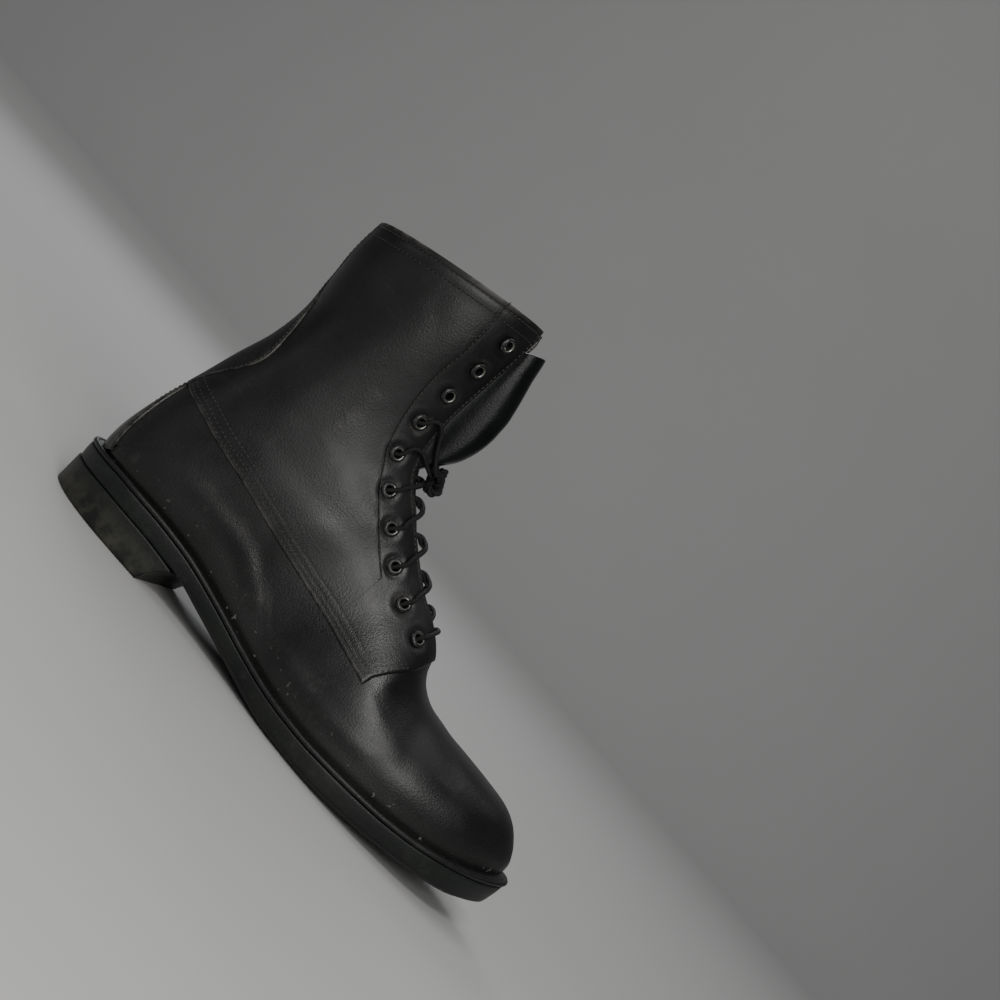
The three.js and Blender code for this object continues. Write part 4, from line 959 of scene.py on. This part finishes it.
def heel_loop(level):
    """One level of the heel block: round the back, then across the raked breast."""
    rake, taper = HEEL_BREAST["rake"], HEEL_BREAST["taper"]

    def breast(y):
        across = np.clip((y + HEEL_WIDTH / 2) / HEEL_WIDTH, 0, 1)
        foot = lerp(HEEL_BREAST["lateral"], HEEL_BREAST["medial"], across) * SOLE_LENGTH
        return foot - rake + rake * level**1.6

    edge = inset_loop(fine_outline, 0.25 + taper * (1 - level))
    order = np.argsort(np.arctan2(edge[:, 1], 60 - edge[:, 0]))
    back = edge[order]
    back = back[back[:, 0] < breast(back[:, 1])]
    corners = [np.array([breast(y), y]) for y in (back[0, 1], back[-1, 1])]
    line = evenly(np.vstack([corners[0], back, corners[1]]), 1.0)
    at = np.linspace(0, len(line) - 1, 150)
    line = sampled(at, np.arange(len(line)), line)
    y = np.linspace(line[-1, 1], line[0, 1], 42)[1:-1]
    return np.vstack([line, np.column_stack([breast(y), y])])


def make_heel():
    def under_sole(xy):
        return sole_underside(xy[:, 0]) - GAP

    top, foot = heel_loop(1.0), heel_loop(0.0)
    middle = np.column_stack([np.clip(foot[:, 0], 24, 58), np.zeros(len(foot))])
    loops = loops_inward(top, middle, (1.0, 0.5), under_sole)
    for level in (1.0, 0.96, 0.8, 0.55, 0.3, 0.12, 0.04):
        xy = heel_loop(level)
        loops.append(with_z(xy, level * under_sole(xy)))
    rounded_share, flat_share = 0.012, 0.03
    loops.append(with_z(lerp(foot, middle, rounded_share), 0.3))
    loops.append(with_z(lerp(foot, middle, flat_share), 0.0))
    shares = np.linspace(flat_share, 1, 36)[1:]
    loops += loops_inward(foot, middle, shares, lambda xy: groove_depth(xy, HEEL_GROOVES))
    points, faces = loop_body(loops)
    return add_piece("heel_rubber", points, faces, RUBBER, ["heel"])


def make_insole():
    loop = inset_loop(fine_outline, feather_inset(fine_outline[:, 0]) + WALL + 1.2)
    spine = spine_of(fine_outline)
    loops = []
    for share in np.linspace(0, 1, 14):
        xy = lerp(loop, spine, share)
        loops.append(with_z(xy, welt_top(xy[:, 0]) + INSOLE_THICKNESS + 0.8 * (1 - share) ** 3))
    skirt = with_z(loop, welt_top(loop[:, 0]) - 1)
    points, faces = loop_body([skirt, *loops])
    return add_piece("insole_board", points, faces, BOARD, ["insole"])


# Eyelets, lace and stitches
def frame_of(direction):
    n = unit(np.asarray(direction, float))
    side = unit(np.cross(n, [0.0, 0.0, 1.0]))
    return side, np.cross(n, side), n


def make_eyelets():
    r, hole = EYELET_FLANGE_RADIUS, EYELET_HOLE_RADIUS
    back = -(WALL + QUARTER_STEP + 0.2)

    # Section from the inside out: radius, height and how far the enamel has worn
    outline = [
        (3.6, back, 0), (3.9, back - 0.25, 0), (3.3, back - 0.6, 0), (2.7, back - 0.5, 0), (hole, back, 0),
        (hole, -1.2, 0), (hole, 0.2, 0.2), (hole + 0.12, 0.75, 0.75), (hole + 0.45, 1.1, 0.8),
        (hole + 0.95, GAP + EYELET_FLANGE_HEIGHT, 0.1), (hole + 1.4, 1.08, 0), (r - 0.32, 0.72, 0.35),
        (r - 0.05, 0.25, 0.3), (r, -0.1, 0), (r - 0.2, -0.3, 0),
    ]
    sides = 40
    rings, faces = [], []
    for _, centre, direction in EYELETS:
        across, other, ahead = frame_of(direction)
        round_hole = circle(sides, across, other)
        faces.append(grid_faces(len(outline), sides, len(rings) * sides, wrap=True))
        rings += [centre + ahead * height + radius * round_hole for radius, height, _ in outline]
    bright = np.tile(np.repeat([wear_and_sheen for _, _, wear_and_sheen in outline], sides), len(EYELETS))
    names = [name for name, _, _ in EYELETS]
    points, faces = np.vstack(rings), np.vstack(faces)
    return add_piece("eyelets", points, faces, EYELET_METAL, names, {"bright": bright}, weld=0)


def tube(points, radius):
    """A swept cord: points, faces, and its place along and around."""
    tangent = unit(np.gradient(points, axis=0))
    across = unit(np.cross(tangent[0], [0.3, 0.9, 0.4]))
    rings = []
    for point, ahead in zip(points, tangent):
        across = unit(across - ahead * (across @ ahead))
        rings.append(point + radius * circle(CORD_SIDES, across, np.cross(ahead, across)))
    last = (len(points) - 1) * CORD_SIDES
    ends = [list(range(CORD_SIDES)), list(range(last, last + CORD_SIDES))]
    faces = [*grid_faces(len(points), CORD_SIDES, wrap=True), *ends]
    around = np.tile(np.arange(CORD_SIDES) / CORD_SIDES, len(points))
    return np.vstack(rings), faces, {"along": np.repeat(arc_of(points), CORD_SIDES), "around": around}


def make_cord(name, points, replaces):
    line = evenly(through(points, 40 * len(points)), 0.7)
    body, faces, values = tube(line, LACE_RADIUS)
    piece = add_piece(name, body, faces, LACE, replaces, values, weld=0)
    return piece, line


# How far the cord's middle runs above the upper's surface
OVER_LEATHER = QUARTER_STEP + LACE_RADIUS + GAP + 0.2
OVER_FLANGE = QUARTER_STEP + EYELET_FLANGE_HEIGHT + 2 * GAP + LACE_RADIUS


def chord_centre(place, lift):
    """A point over the middle of the throat."""
    left, right = (facing(place, hand, 0, OVER_LEATHER)[0] for hand in (LATERAL, MEDIAL))
    s = section(place)
    out = unit(s[0:2] - s[2:4])
    return (left + right) / 2 + np.array([out[0], 0, out[1]]) * lift


def throat_side(place, hand, sink=2.3):
    """A point inside the throat, close by one facing."""
    point = chord_centre(place, -sink)
    point[1] = -hand * (throat_half(place) - 2.6)
    return point


def through_eyelet(row, hand, outward):
    """Points from the inside of the boot out through an eyelet, or the other way."""
    depth = [-(WALL + 2.2), -1.2, QUARTER_STEP + 0.9, OVER_FLANGE + 0.1]
    back = [EYELET_SETBACK, EYELET_SETBACK, EYELET_SETBACK - 0.3, EYELET_SETBACK - 1.9]
    points = [facing(row, hand, b, d)[0] for b, d in zip(back, depth)]
    return points if outward else points[::-1]


def lace_half(hand):
    """One end of the lace, from beside the bar's middle to behind the fifth eyelet from the collar."""
    row = EYELET_ROWS[EYELET_COUNT - 1]
    points = [
        facing(row, hand, 2, OVER_LEATHER)[0],
        facing(row, hand, EYELET_SETBACK - EYELET_FLANGE_RADIUS - 1, OVER_FLANGE)[0],
        *through_eyelet(row, hand, False),
    ]
    above = EYELET_ROWS[EYELET_COUNT - 2]
    lift = -0.2 if hand == LATERAL else -2.6
    points += [
        throat_side(lerp(row, above, 0.34), hand, 2.8),
        chord_centre(lerp(row, above, 0.53), lift),
        throat_side(lerp(row, above, 0.74), -hand, 2.8),
    ]
    side = -hand
    for i in range(EYELET_COUNT - 1, 5, -1):
        low = EYELET_ROWS[i - 1]
        high = min(EYELET_ROWS[i - 2], KNOT_ROW)
        lift = 1.0 if side == LATERAL else -1.2
        points += through_eyelet(low, side, True)
        points += [
            facing(lerp(low, high, 0.1), side, EYELET_SETBACK - EYELET_FLANGE_RADIUS - 1, OVER_FLANGE)[0],
            facing(lerp(low, high, 0.22), side, 2.5, OVER_LEATHER + 0.1)[0],
            facing(lerp(low, high, 0.3), side, 0, OVER_LEATHER + 0.3)[0],
            chord_centre(lerp(low, high, 0.5), lift),
            throat_side(lerp(low, high, 0.72), -side),
            facing(lerp(low, high, 0.84), -side, 3.5, -(WALL + 2.2))[0],
        ]
        side = -side
    points.append(facing(EYELET_ROWS[4], side, EYELET_SETBACK - 3, -(WALL + 2.4))[0])
    return points


def make_lace():
    lateral, medial = lace_half(LATERAL), lace_half(MEDIAL)
    bar = chord_centre(EYELET_ROWS[EYELET_COUNT - 1], 0)
    nodes = ["lace_bar", *[f"lace_crossing_{i}" for i in range(1, 6)]]
    make_cord("lace", [*lateral[::-1], bar, *medial], nodes)
    knot = make_knot()
    for side, hand in HANDS.items():
        for name, row, points in (("low", EYELET_ROWS[4], LOW_TIE), ("high", EYELET_ROWS[3], HIGH_TIE)):
            inside = facing(row, hand, EYELET_SETBACK + 5, -(WALL + 2.0))[0]
            visible = [(x, hand * y, z) for x, y, z in points]
            route = [inside, *through_eyelet(row, hand, True)[:3], *visible]
            piece, line = make_cord(f"lace_end_{name}_{side}", route, [f"lace_tie_{name}_{side}"])


def make_knot():
    """A small tight knot: three strands that twist round one trefoil with its lobes pulled together."""
    t = np.linspace(0, 2 * math.pi, 260, endpoint=False)
    lobes = [-1.15 * np.sin(3 * t), np.sin(t) + 2 * np.sin(2 * t), np.cos(t) - 2 * np.cos(2 * t)]
    x, y, z = (lobe * scale for lobe, scale in zip(lobes, KNOT_SCALE))
    c, s = math.cos(math.radians(KNOT_LEAN)), math.sin(math.radians(KNOT_LEAN))
    line = np.stack([x * c + z * s, y, z * c - x * s], -1)
    ahead = unit(np.roll(line, -1, 0) - np.roll(line, 1, 0))
    out = unit(line - ahead * np.sum(line * ahead, 1)[:, None])
    other = np.cross(ahead, out)
    points, faces, values = [], [], []
    for strand in range(KNOT_STRANDS):
        twist = (4 * t + strand * 2 * math.pi / KNOT_STRANDS)[:, None]
        beside = (np.cos(twist) * out + np.sin(twist) * other) * LACE_RADIUS * 1.15
        strand_line = line + beside + KNOT_CENTRE
        body, quads, marks = tube(np.vstack([strand_line, strand_line[:1]]), LACE_RADIUS * 1.05)
        faces += [[i + sum(map(len, points)) for i in quad] for quad in quads]
        points.append(body)
        values.append(marks)
    joined = {key: np.concatenate([v[key] for v in values]) for key in values[0]}
    return add_piece("knot", np.vstack(points), faces, LACE, ["lace_knot"], joined, weld=0)


def stitch_along(line, normals):
    """The rings of short thread stitches laid end to end along a line on the surface."""
    arc = arc_of(line)
    rings = []
    for k in range(int(arc[-1] / STITCH_PITCH)):
        at = (k + 0.5) * STITCH_PITCH
        centre = sampled(at, arc, line)
        ahead = unit(sampled(at + 0.6, arc, line) - sampled(at - 0.6, arc, line))
        up = unit(sampled(at, arc, normals))
        ahead = unit(ahead + 0.12 * np.cross(up, ahead))
        across = unit(np.cross(up, ahead))
        up = np.cross(ahead, across)
        for station, width, rise in STITCH_SHAPE:
            lift = rise * STITCH_RADIUS - STITCH_SINK
            middle = centre + ahead * station * STITCH_LENGTH / 2 + up * lift
            rings.append(middle + STITCH_RADIUS * width * circle(STITCH_SIDES, across, up))
    return rings


def surface_line(places, angles, hand, offset):
    """Points over the surface and their normals."""
    places, angles = np.array(places), hand * np.array(angles)
    return offset_point(places, angles, offset), normal(places, angles)


def side_line(line, hand):
    """The same for a line drawn in side view on the quarter."""
    pairs = [from_side(x, z) for x, z in evenly(np.array(line, float), 1.5)]
    return surface_line(*zip(*pairs), hand, QUARTER_STEP)


def lower_edge_row(hand, distance):
    front = [(x * SOLE_LENGTH - distance, z * COLLAR_HEIGHT) for x, z in QUARTER_TAB[::-1][1:5]]
    stations = np.linspace(14, 0.583 * SOLE_LENGTH, 120)
    stations = stations[stations < 0.585 * SOLE_LENGTH - distance]
    bottom = [(x, float(quarter_edge(x)) + distance) for x in stations]
    return side_line([*bottom, *front], hand)


def facing_row(hand, distance):
    places = np.linspace(12.5, COLLAR_ROW - 0.25, 120)
    points, normals = zip(*[facing(place, hand, distance, QUARTER_STEP) for place in places])
    return np.array(points), np.array(normals)


def collar_row(hand, distance):
    start = throat_angle(np.array([COLLAR_ROW - 0.5]), hand)[0] + 0.12
    angles = np.linspace(start, math.pi - 0.16, 140)
    scan = np.linspace(COLLAR_ROW - 3.2, COLLAR_ROW, 60)
    grid = surface(scan[:, None], hand * angles[None, :])
    level = collar_z(grid[..., 0]) - grid[..., 2] - distance
    found = [np.interp(0, -column, scan) for column in level.T]
    return surface_line(found, angles, hand, QUARTER_STEP)


def backstay_row(hand, distance):
    rows = np.linspace(18.6, COLLAR_ROW - 0.3, 120)
    start, end = backstay_angle(rows, hand), np.full(len(rows), math.pi)
    place, angle, _, _ = spread(rows, hand, start, end, [0, distance], [0, 0.1], 4)
    return surface_line(place[:, 1], angle[:, 1], hand, BACKSTAY_STEP - 0.6)


def make_stitches():
    rings = []
    for hand in HANDS.values():
        lines = [lower_edge_row(hand, distance) for distance in QUARTER_STITCH_ROWS]
        lines.append(side_line(FACING_SEAM, hand))
        lines += [facing_row(hand, distance) for distance in FACING_STITCH_ROWS]
        lines += [collar_row(hand, distance) for distance in COLLAR_STITCH_ROWS]
        lines += [backstay_row(hand, distance) for distance in BACKSTAY_STITCH_ROWS]
        for line, normals in lines:
            rings += stitch_along(line, normals)
    one = grid_faces(len(STITCH_SHAPE), STITCH_SIDES, wrap=True)
    firsts = np.arange(0, len(rings), len(STITCH_SHAPE)) * STITCH_SIDES
    faces = (one[None] + firsts[:, None, None]).reshape(-1, 4)
    return add_piece("stitches", np.vstack(rings), faces, THREAD, [], weld=0)


# Materials
def opaque(red, green, blue):
    return [red, green, blue, 1.0]


def scaled(colour, factor):
    return [channel * factor for channel in colour[:3]] + [1.0]


class Look:
    """A new material, with short names for the nodes that its look is made of."""

    def __init__(self, name):
        self.material = bpy.data.materials.new(name)
        self.material.use_nodes = True
        self.tree = self.material.node_tree
        self.coords = self.node("ShaderNodeTexCoord").outputs["Object"]

    def fill(self, made, inputs):
        for key, value in inputs.items():
            if isinstance(value, bpy.types.NodeSocket):
                self.tree.links.new(value, made.inputs[key])
            else:
                made.inputs[key].default_value = value

    def node(self, kind, inputs=(), **settings):
        made = self.tree.nodes.new(kind)
        for key, value in settings.items():
            setattr(made, key, value)
        self.fill(made, dict(inputs))
        return made

    def noise(self, scale, detail=4.0, roughness=0.55, coords=None):
        place = self.coords if coords is None else coords
        inputs = {"Vector": place, "Scale": scale, "Detail": detail, "Roughness": roughness}
        return self.node("ShaderNodeTexNoise", inputs).outputs["Fac"]

    def ranged(self, value, low, high, to_low=0.0, to_high=1.0):
        inputs = {"Value": value, "From Min": low, "From Max": high, "To Min": to_low, "To Max": to_high}
        return self.node("ShaderNodeMapRange", inputs, interpolation_type="SMOOTHSTEP").outputs["Result"]

    def combined(self, operation, result, *others):
        """One operation on the first value and each of the others in turn."""
        for value in others:
            result = self.node("ShaderNodeMath", {0: result, 1: value}, operation=operation).outputs[0]
        return result

    def of_one(self, operation, value):
        return self.node("ShaderNodeMath", {0: value}, operation=operation).outputs[0]

    def plus(self, *values):
        return self.combined("ADD", *values)

    def minus(self, *values):
        return self.combined("SUBTRACT", *values)

    def times(self, *values):
        return self.combined("MULTIPLY", *values)

    def layered(self, colour, *layers):
        """The colour with others laid over it, each by its own share."""
        for share, over in layers:
            mix = self.node("ShaderNodeMix", {0: share, 6: colour, 7: over}, data_type="RGBA")
            colour = mix.outputs[2]
        return colour

    def value(self, name):
        return self.node("ShaderNodeAttribute", attribute_name=name).outputs["Fac"]

    def bumped(self, *layers):
        """A normal from layers of height, depth in metres and strength."""
        before = {}
        for height, depth, strength in layers:
            inputs = {"Height": height, "Distance": depth, "Strength": strength, **before}
            before = {"Normal": self.node("ShaderNodeBump", inputs).outputs["Normal"]}
        return before["Normal"]

    def drawn_line(self, name, at, width):
        """1 on a line at a distance kept as a mesh value, 0 away from it."""
        away = self.of_one("ABSOLUTE", self.minus(self.value(name), LINE_ZERO + at))
        return self.ranged(away, 0.25 * width, width, 1.0, 0.0)

    def finish(self, inputs):
        self.fill(self.tree.nodes["Principled BSDF"], inputs)
        return self.material


# Grooves drawn into the leather, with painted shade in them: the mesh value, the distance and the width in
# mm
DRAWN_LINES = [("seam", 0.0, 0.5), ("collar", 2.9, 0.6), ("collar", 8.6, 0.45)]
DUST = opaque(0.045, 0.044, 0.04)
SPECK = opaque(0.1, 0.095, 0.085)
CRUMB = opaque(0.16, 0.155, 0.14)
GROOVE_SHADE = opaque(0.002, 0.002, 0.002)
RUBBER_DUST = opaque(0.05, 0.053, 0.046)
MUD = opaque(0.075, 0.066, 0.048)


def leather(name, base, wear_and_sheen, rough, grain, gloss=0.0, shine=0.4):
    """Black leather: fine grain, cloudy polish, dust, scratches, edge scuffs, worn spots, painted
    highlights.
    """
    look = Look(name)
    cell_size = {"Vector": look.coords, "Scale": 1150.0}
    cells = look.node("ShaderNodeTexVoronoi", cell_size, feature="SMOOTH_F1").outputs["Distance"]
    fine = look.noise(2600.0, 3.0)
    cloudy = look.noise(24.0, 5.0)
    dust = look.ranged(look.noise(420.0, 6.0, 0.7), 0.58, 0.8)
    specks = look.ranged(look.noise(700.0, 2.0, 0.5), 0.76, 0.8)
    scuff = look.ranged(look.noise(75.0, 8.0, 0.75), 0.5, 0.74)
    slant = {"Vector": look.coords, "Rotation": (0.0, 0.5, 0.0), "Scale": (1.0, 1.0, 14.0)}
    slanted = look.node("ShaderNodeMapping", slant).outputs["Vector"]
    scratch = look.ranged(look.noise(55.0, 7.0, 0.7, slanted), 0.6, 0.74)
    broken = look.ranged(look.noise(130.0, 4.0), 0.4, 0.62, 0.1, 1.0)
    wear_and_sheen_here, edge_here, low_here = (look.value(key) for key in ("wear_and_sheen", "edge", "low"))
    # Paler scuffs at the worn spots, which in part are painted highlights
    pale_wear_and_sheen = look.times(wear_and_sheen_here, scuff, 0.3)
    rim = look.times(edge_here, broken, 0.5)
    crumbs = look.times(look.ranged(look.noise(330.0, 1.0), 0.7, 0.74), low_here)
    groove_and_shade = look.plus(*[look.drawn_line(*line) for line in DRAWN_LINES])
    colour = look.layered(
        base,
        (look.ranged(cloudy, 0.3, 0.7, 0.0, 0.5), scaled(base, 2.0)),
        (look.plus(look.times(dust, 0.14), look.times(low_here, 0.16)), DUST),
        (look.times(scratch, 0.1), wear_and_sheen),
        (look.plus(pale_wear_and_sheen, rim), wear_and_sheen),
        (look.times(specks, 0.5), SPECK),
        (crumbs, CRUMB),
        # Painted shade darkens the grooves
        (look.times(groove_and_shade, 0.85), GROOVE_SHADE),
    )
    polish = look.ranged(cloudy, 0.25, 0.75, rough - 0.09, rough + 0.12)
    roughness = look.minus(look.plus(polish, look.times(dust, 0.12)), look.times(wear_and_sheen_here, 0.05))
    bump = look.bumped(
        (cells, 0.00007 * grain, 1.0), (fine, 0.00006 * grain, 1.0), (cloudy, 0.0008, 0.25),
        (look.minus(1.0, groove_and_shade), 0.0003, 1.0),
    )
    return look.finish({
        "Base Color": colour, "Roughness": roughness, "Normal": bump, "Coat Weight": gloss,
        "Coat Roughness": 0.25, "Specular IOR Level": shine,
    })


def rubber(name, base, rough, mud):
    """Greenish black moulded rubber, dusty, with dried mud low down at the heel."""
    look = Look(name)
    place = look.node("ShaderNodeSeparateXYZ", {0: look.coords}).outputs
    cloudy = look.noise(45.0, 6.0, 0.65)
    pits = look.noise(1500.0, 4.0)
    dust = look.ranged(look.noise(160.0, 8.0, 0.75), 0.48, 0.72)
    near_heel = look.ranged(place["X"], -0.09, -0.06, 1.0, 0.15)
    near_floor = look.ranged(place["Z"], 0.002, 0.019, 1.0, 0.0)
    muddy = look.times(near_floor, near_heel, look.ranged(cloudy, 0.42, 0.62), mud)
    colour = look.layered(
        base, (look.ranged(cloudy, 0.3, 0.7), scaled(base, 1.9)), (look.times(dust, 0.16), RUBBER_DUST),
        (muddy, MUD),
    )
    return look.finish({
        "Base Color": colour, "Roughness": look.ranged(dust, 0.0, 1.0, rough, rough + 0.2),
        "Normal": look.bumped((pits, 0.00018, 1.0), (cloudy, 0.0007, 0.6)), "Specular IOR Level": 0.35,
    })


def eyelet_metal():
    """Black enamel that has worn to bright metal on the raised rim."""
    look = Look("enamelled_metal")
    blotch = look.noise(500.0, 5.0, 0.65)
    chipped = look.ranged(look.plus(look.value("bright"), look.times(blotch, 0.7)), 0.62, 0.98)
    return look.finish({
        "Base Color": look.layered(opaque(0.008, 0.008, 0.009), (chipped, opaque(0.2, 0.195, 0.175))),
        "Metallic": look.ranged(chipped, 0.0, 1.0, 0.1, 0.9),
        "Roughness": look.ranged(blotch, 0.3, 0.7, 0.24, 0.46),
        "Normal": look.bumped((blotch, 0.00012, 1.0)),
    })


def lace_cord():
    """Waxed braided cord: crossing strands round and along it."""
    look = Look("waxed_cord")
    along = look.times(look.value("along"), 5.2)
    around = look.times(look.value("around"), 2 * math.pi * 4)
    strands = [look.of_one("SINE", turn) for turn in (look.plus(along, around), look.minus(along, around))]
    braid = look.combined("MAXIMUM", *strands)
    fuzz = look.noise(2200.0, 3.0)
    colour = look.layered(
        opaque(0.003, 0.003, 0.003), (look.ranged(braid, -0.2, 1.0), opaque(0.011, 0.011, 0.011)),
        (look.ranged(fuzz, 0.62, 0.8, 0.0, 0.3), opaque(0.05, 0.048, 0.045)),
    )
    return look.finish({
        "Base Color": colour, "Roughness": 0.6, "Specular IOR Level": 0.3,
        "Normal": look.bumped((braid, 0.00022, 1.0), (fuzz, 0.0001, 1.0)),
    })


def thread():
    """Dark waxed thread, a little paler than the leather."""
    look = Look("thread")
    twist = look.noise(3000.0, 2.0)
    return look.finish({
        "Base Color": look.layered(opaque(0.012, 0.0115, 0.011), (twist, opaque(0.05, 0.047, 0.042))),
        "Roughness": 0.6, "Normal": look.bumped((twist, 0.0001, 1.0)),
    })


def plain_stage(name, colour):
    look = Look(name)
    faded = look.layered(colour, (look.noise(3.0, 3.0), scaled(colour, 0.96)))
    return look.finish({"Base Color": faded, "Roughness": 0.85})


LEATHER = leather(
    "black_leather", opaque(0.0032, 0.003, 0.0031), opaque(0.13, 0.122, 0.11), 0.39, 1.2, gloss=0.02,
)
LINING = leather("lining_leather", opaque(0.012, 0.0105, 0.009), opaque(0.05, 0.045, 0.04), 0.7, 1.2)
TONGUE = leather(
    "tongue_gloss", opaque(0.0032, 0.0036, 0.0038), opaque(0.04, 0.04, 0.04), 0.29, 0.8, shine=0.14,
)
RUBBER = rubber("sole_rubber_material", opaque(0.0032, 0.0045, 0.0037), 0.48, 0.4)
WELT = rubber("welt_rubber_material", opaque(0.0035, 0.0042, 0.0036), 0.44, 0.08)
BOARD = leather("insole_leather", opaque(0.045, 0.036, 0.028), opaque(0.1, 0.09, 0.07), 0.8, 1.4)
EYELET_METAL = eyelet_metal()
LACE = lace_cord()
THREAD = thread()


# Stage, light and camera
def make_stage():
    """A floor that bends up into a wall at the back."""
    half_width, reach, bend, top = 6.0, 2.4, 1.4, 6.0
    turns = np.linspace(0, math.pi / 2, 40)
    curve = [(reach + bend * math.sin(turn), bend * (1 - math.cos(turn))) for turn in turns]
    line = [(-half_width, 0.0), *curve, (reach + bend, top)]
    verts = [(x, y, z) for y, z in line for x in (-half_width, half_width)]
    faces = [(2 * i, 2 * i + 1, 2 * i + 3, 2 * i + 2) for i in range(len(line) - 1)]
    mesh = bpy.data.meshes.new("floor")
    mesh.from_pydata(verts, [], faces)
    mesh.polygons.foreach_set("use_smooth", [True] * len(mesh.polygons))
    mesh.materials.append(plain_stage("pale_floor", opaque(0.46, 0.46, 0.452)))
    floor = bpy.data.objects.new("floor", mesh)
    bpy.context.scene.collection.objects.link(floor)


def add_light(name, place, target, size, power, colour):
    data = bpy.data.lights.new(name, "AREA")
    data.shape = "RECTANGLE"
    data.size, data.size_y = size
    data.energy = power
    data.color = colour
    lamp = bpy.data.objects.new(name, data)
    bpy.context.scene.collection.objects.link(lamp)
    lamp.location = place
    lamp.rotation_euler = (Vector(target) - Vector(place)).to_track_quat("-Z", "Y").to_euler()


def make_lights():
    world = bpy.data.worlds.new("studio")
    world.use_nodes = True
    background = world.node_tree.nodes["Background"]
    background.inputs["Color"].default_value = SKY
    background.inputs["Strength"].default_value = SKY_STRENGTH
    bpy.context.scene.world = world
    for light in LIGHTS:
        add_light(*light)


def make_camera():
    data = bpy.data.cameras.new("camera")
    data.sensor_width = 36.0
    data.lens = CAMERA_LENS
    data.clip_start = 0.01
    camera = bpy.data.objects.new("camera", data)
    bpy.context.scene.collection.objects.link(camera)
    camera.rotation_mode = "QUATERNION"
    roll = math.radians(CAMERA_ROLL)
    right = Vector((math.cos(roll), 0.0, math.sin(roll)))
    up = Vector((-math.sin(roll), 0.0, math.cos(roll)))
    back = Vector((0.0, -1.0, 0.0))
    camera.rotation_quaternion = Matrix((right, up, back)).transposed().to_quaternion()
    camera.location = CAMERA_PLACE
    bpy.context.scene.camera = camera


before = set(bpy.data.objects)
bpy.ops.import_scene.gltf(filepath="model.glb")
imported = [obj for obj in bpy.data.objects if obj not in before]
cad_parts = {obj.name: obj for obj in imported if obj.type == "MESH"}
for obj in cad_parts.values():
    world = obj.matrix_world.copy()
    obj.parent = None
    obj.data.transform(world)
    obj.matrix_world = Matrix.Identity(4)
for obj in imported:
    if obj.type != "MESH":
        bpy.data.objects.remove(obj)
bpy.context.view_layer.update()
make_outsole()
make_heel()
make_welt()
make_insole()
make_vamp()
make_leather("quarters", quarter_grid, LEATHER, QUARTER_HOLE_RADIUS)
make_leather("backstay", backstay_grid, LEATHER)
make_leather("lining", lining_grid, LINING, LINING_HOLE_RADIUS)
make_tongue()
make_eyelets()
make_lace()
make_stitches()
make_stage()
make_lights()
make_camera()
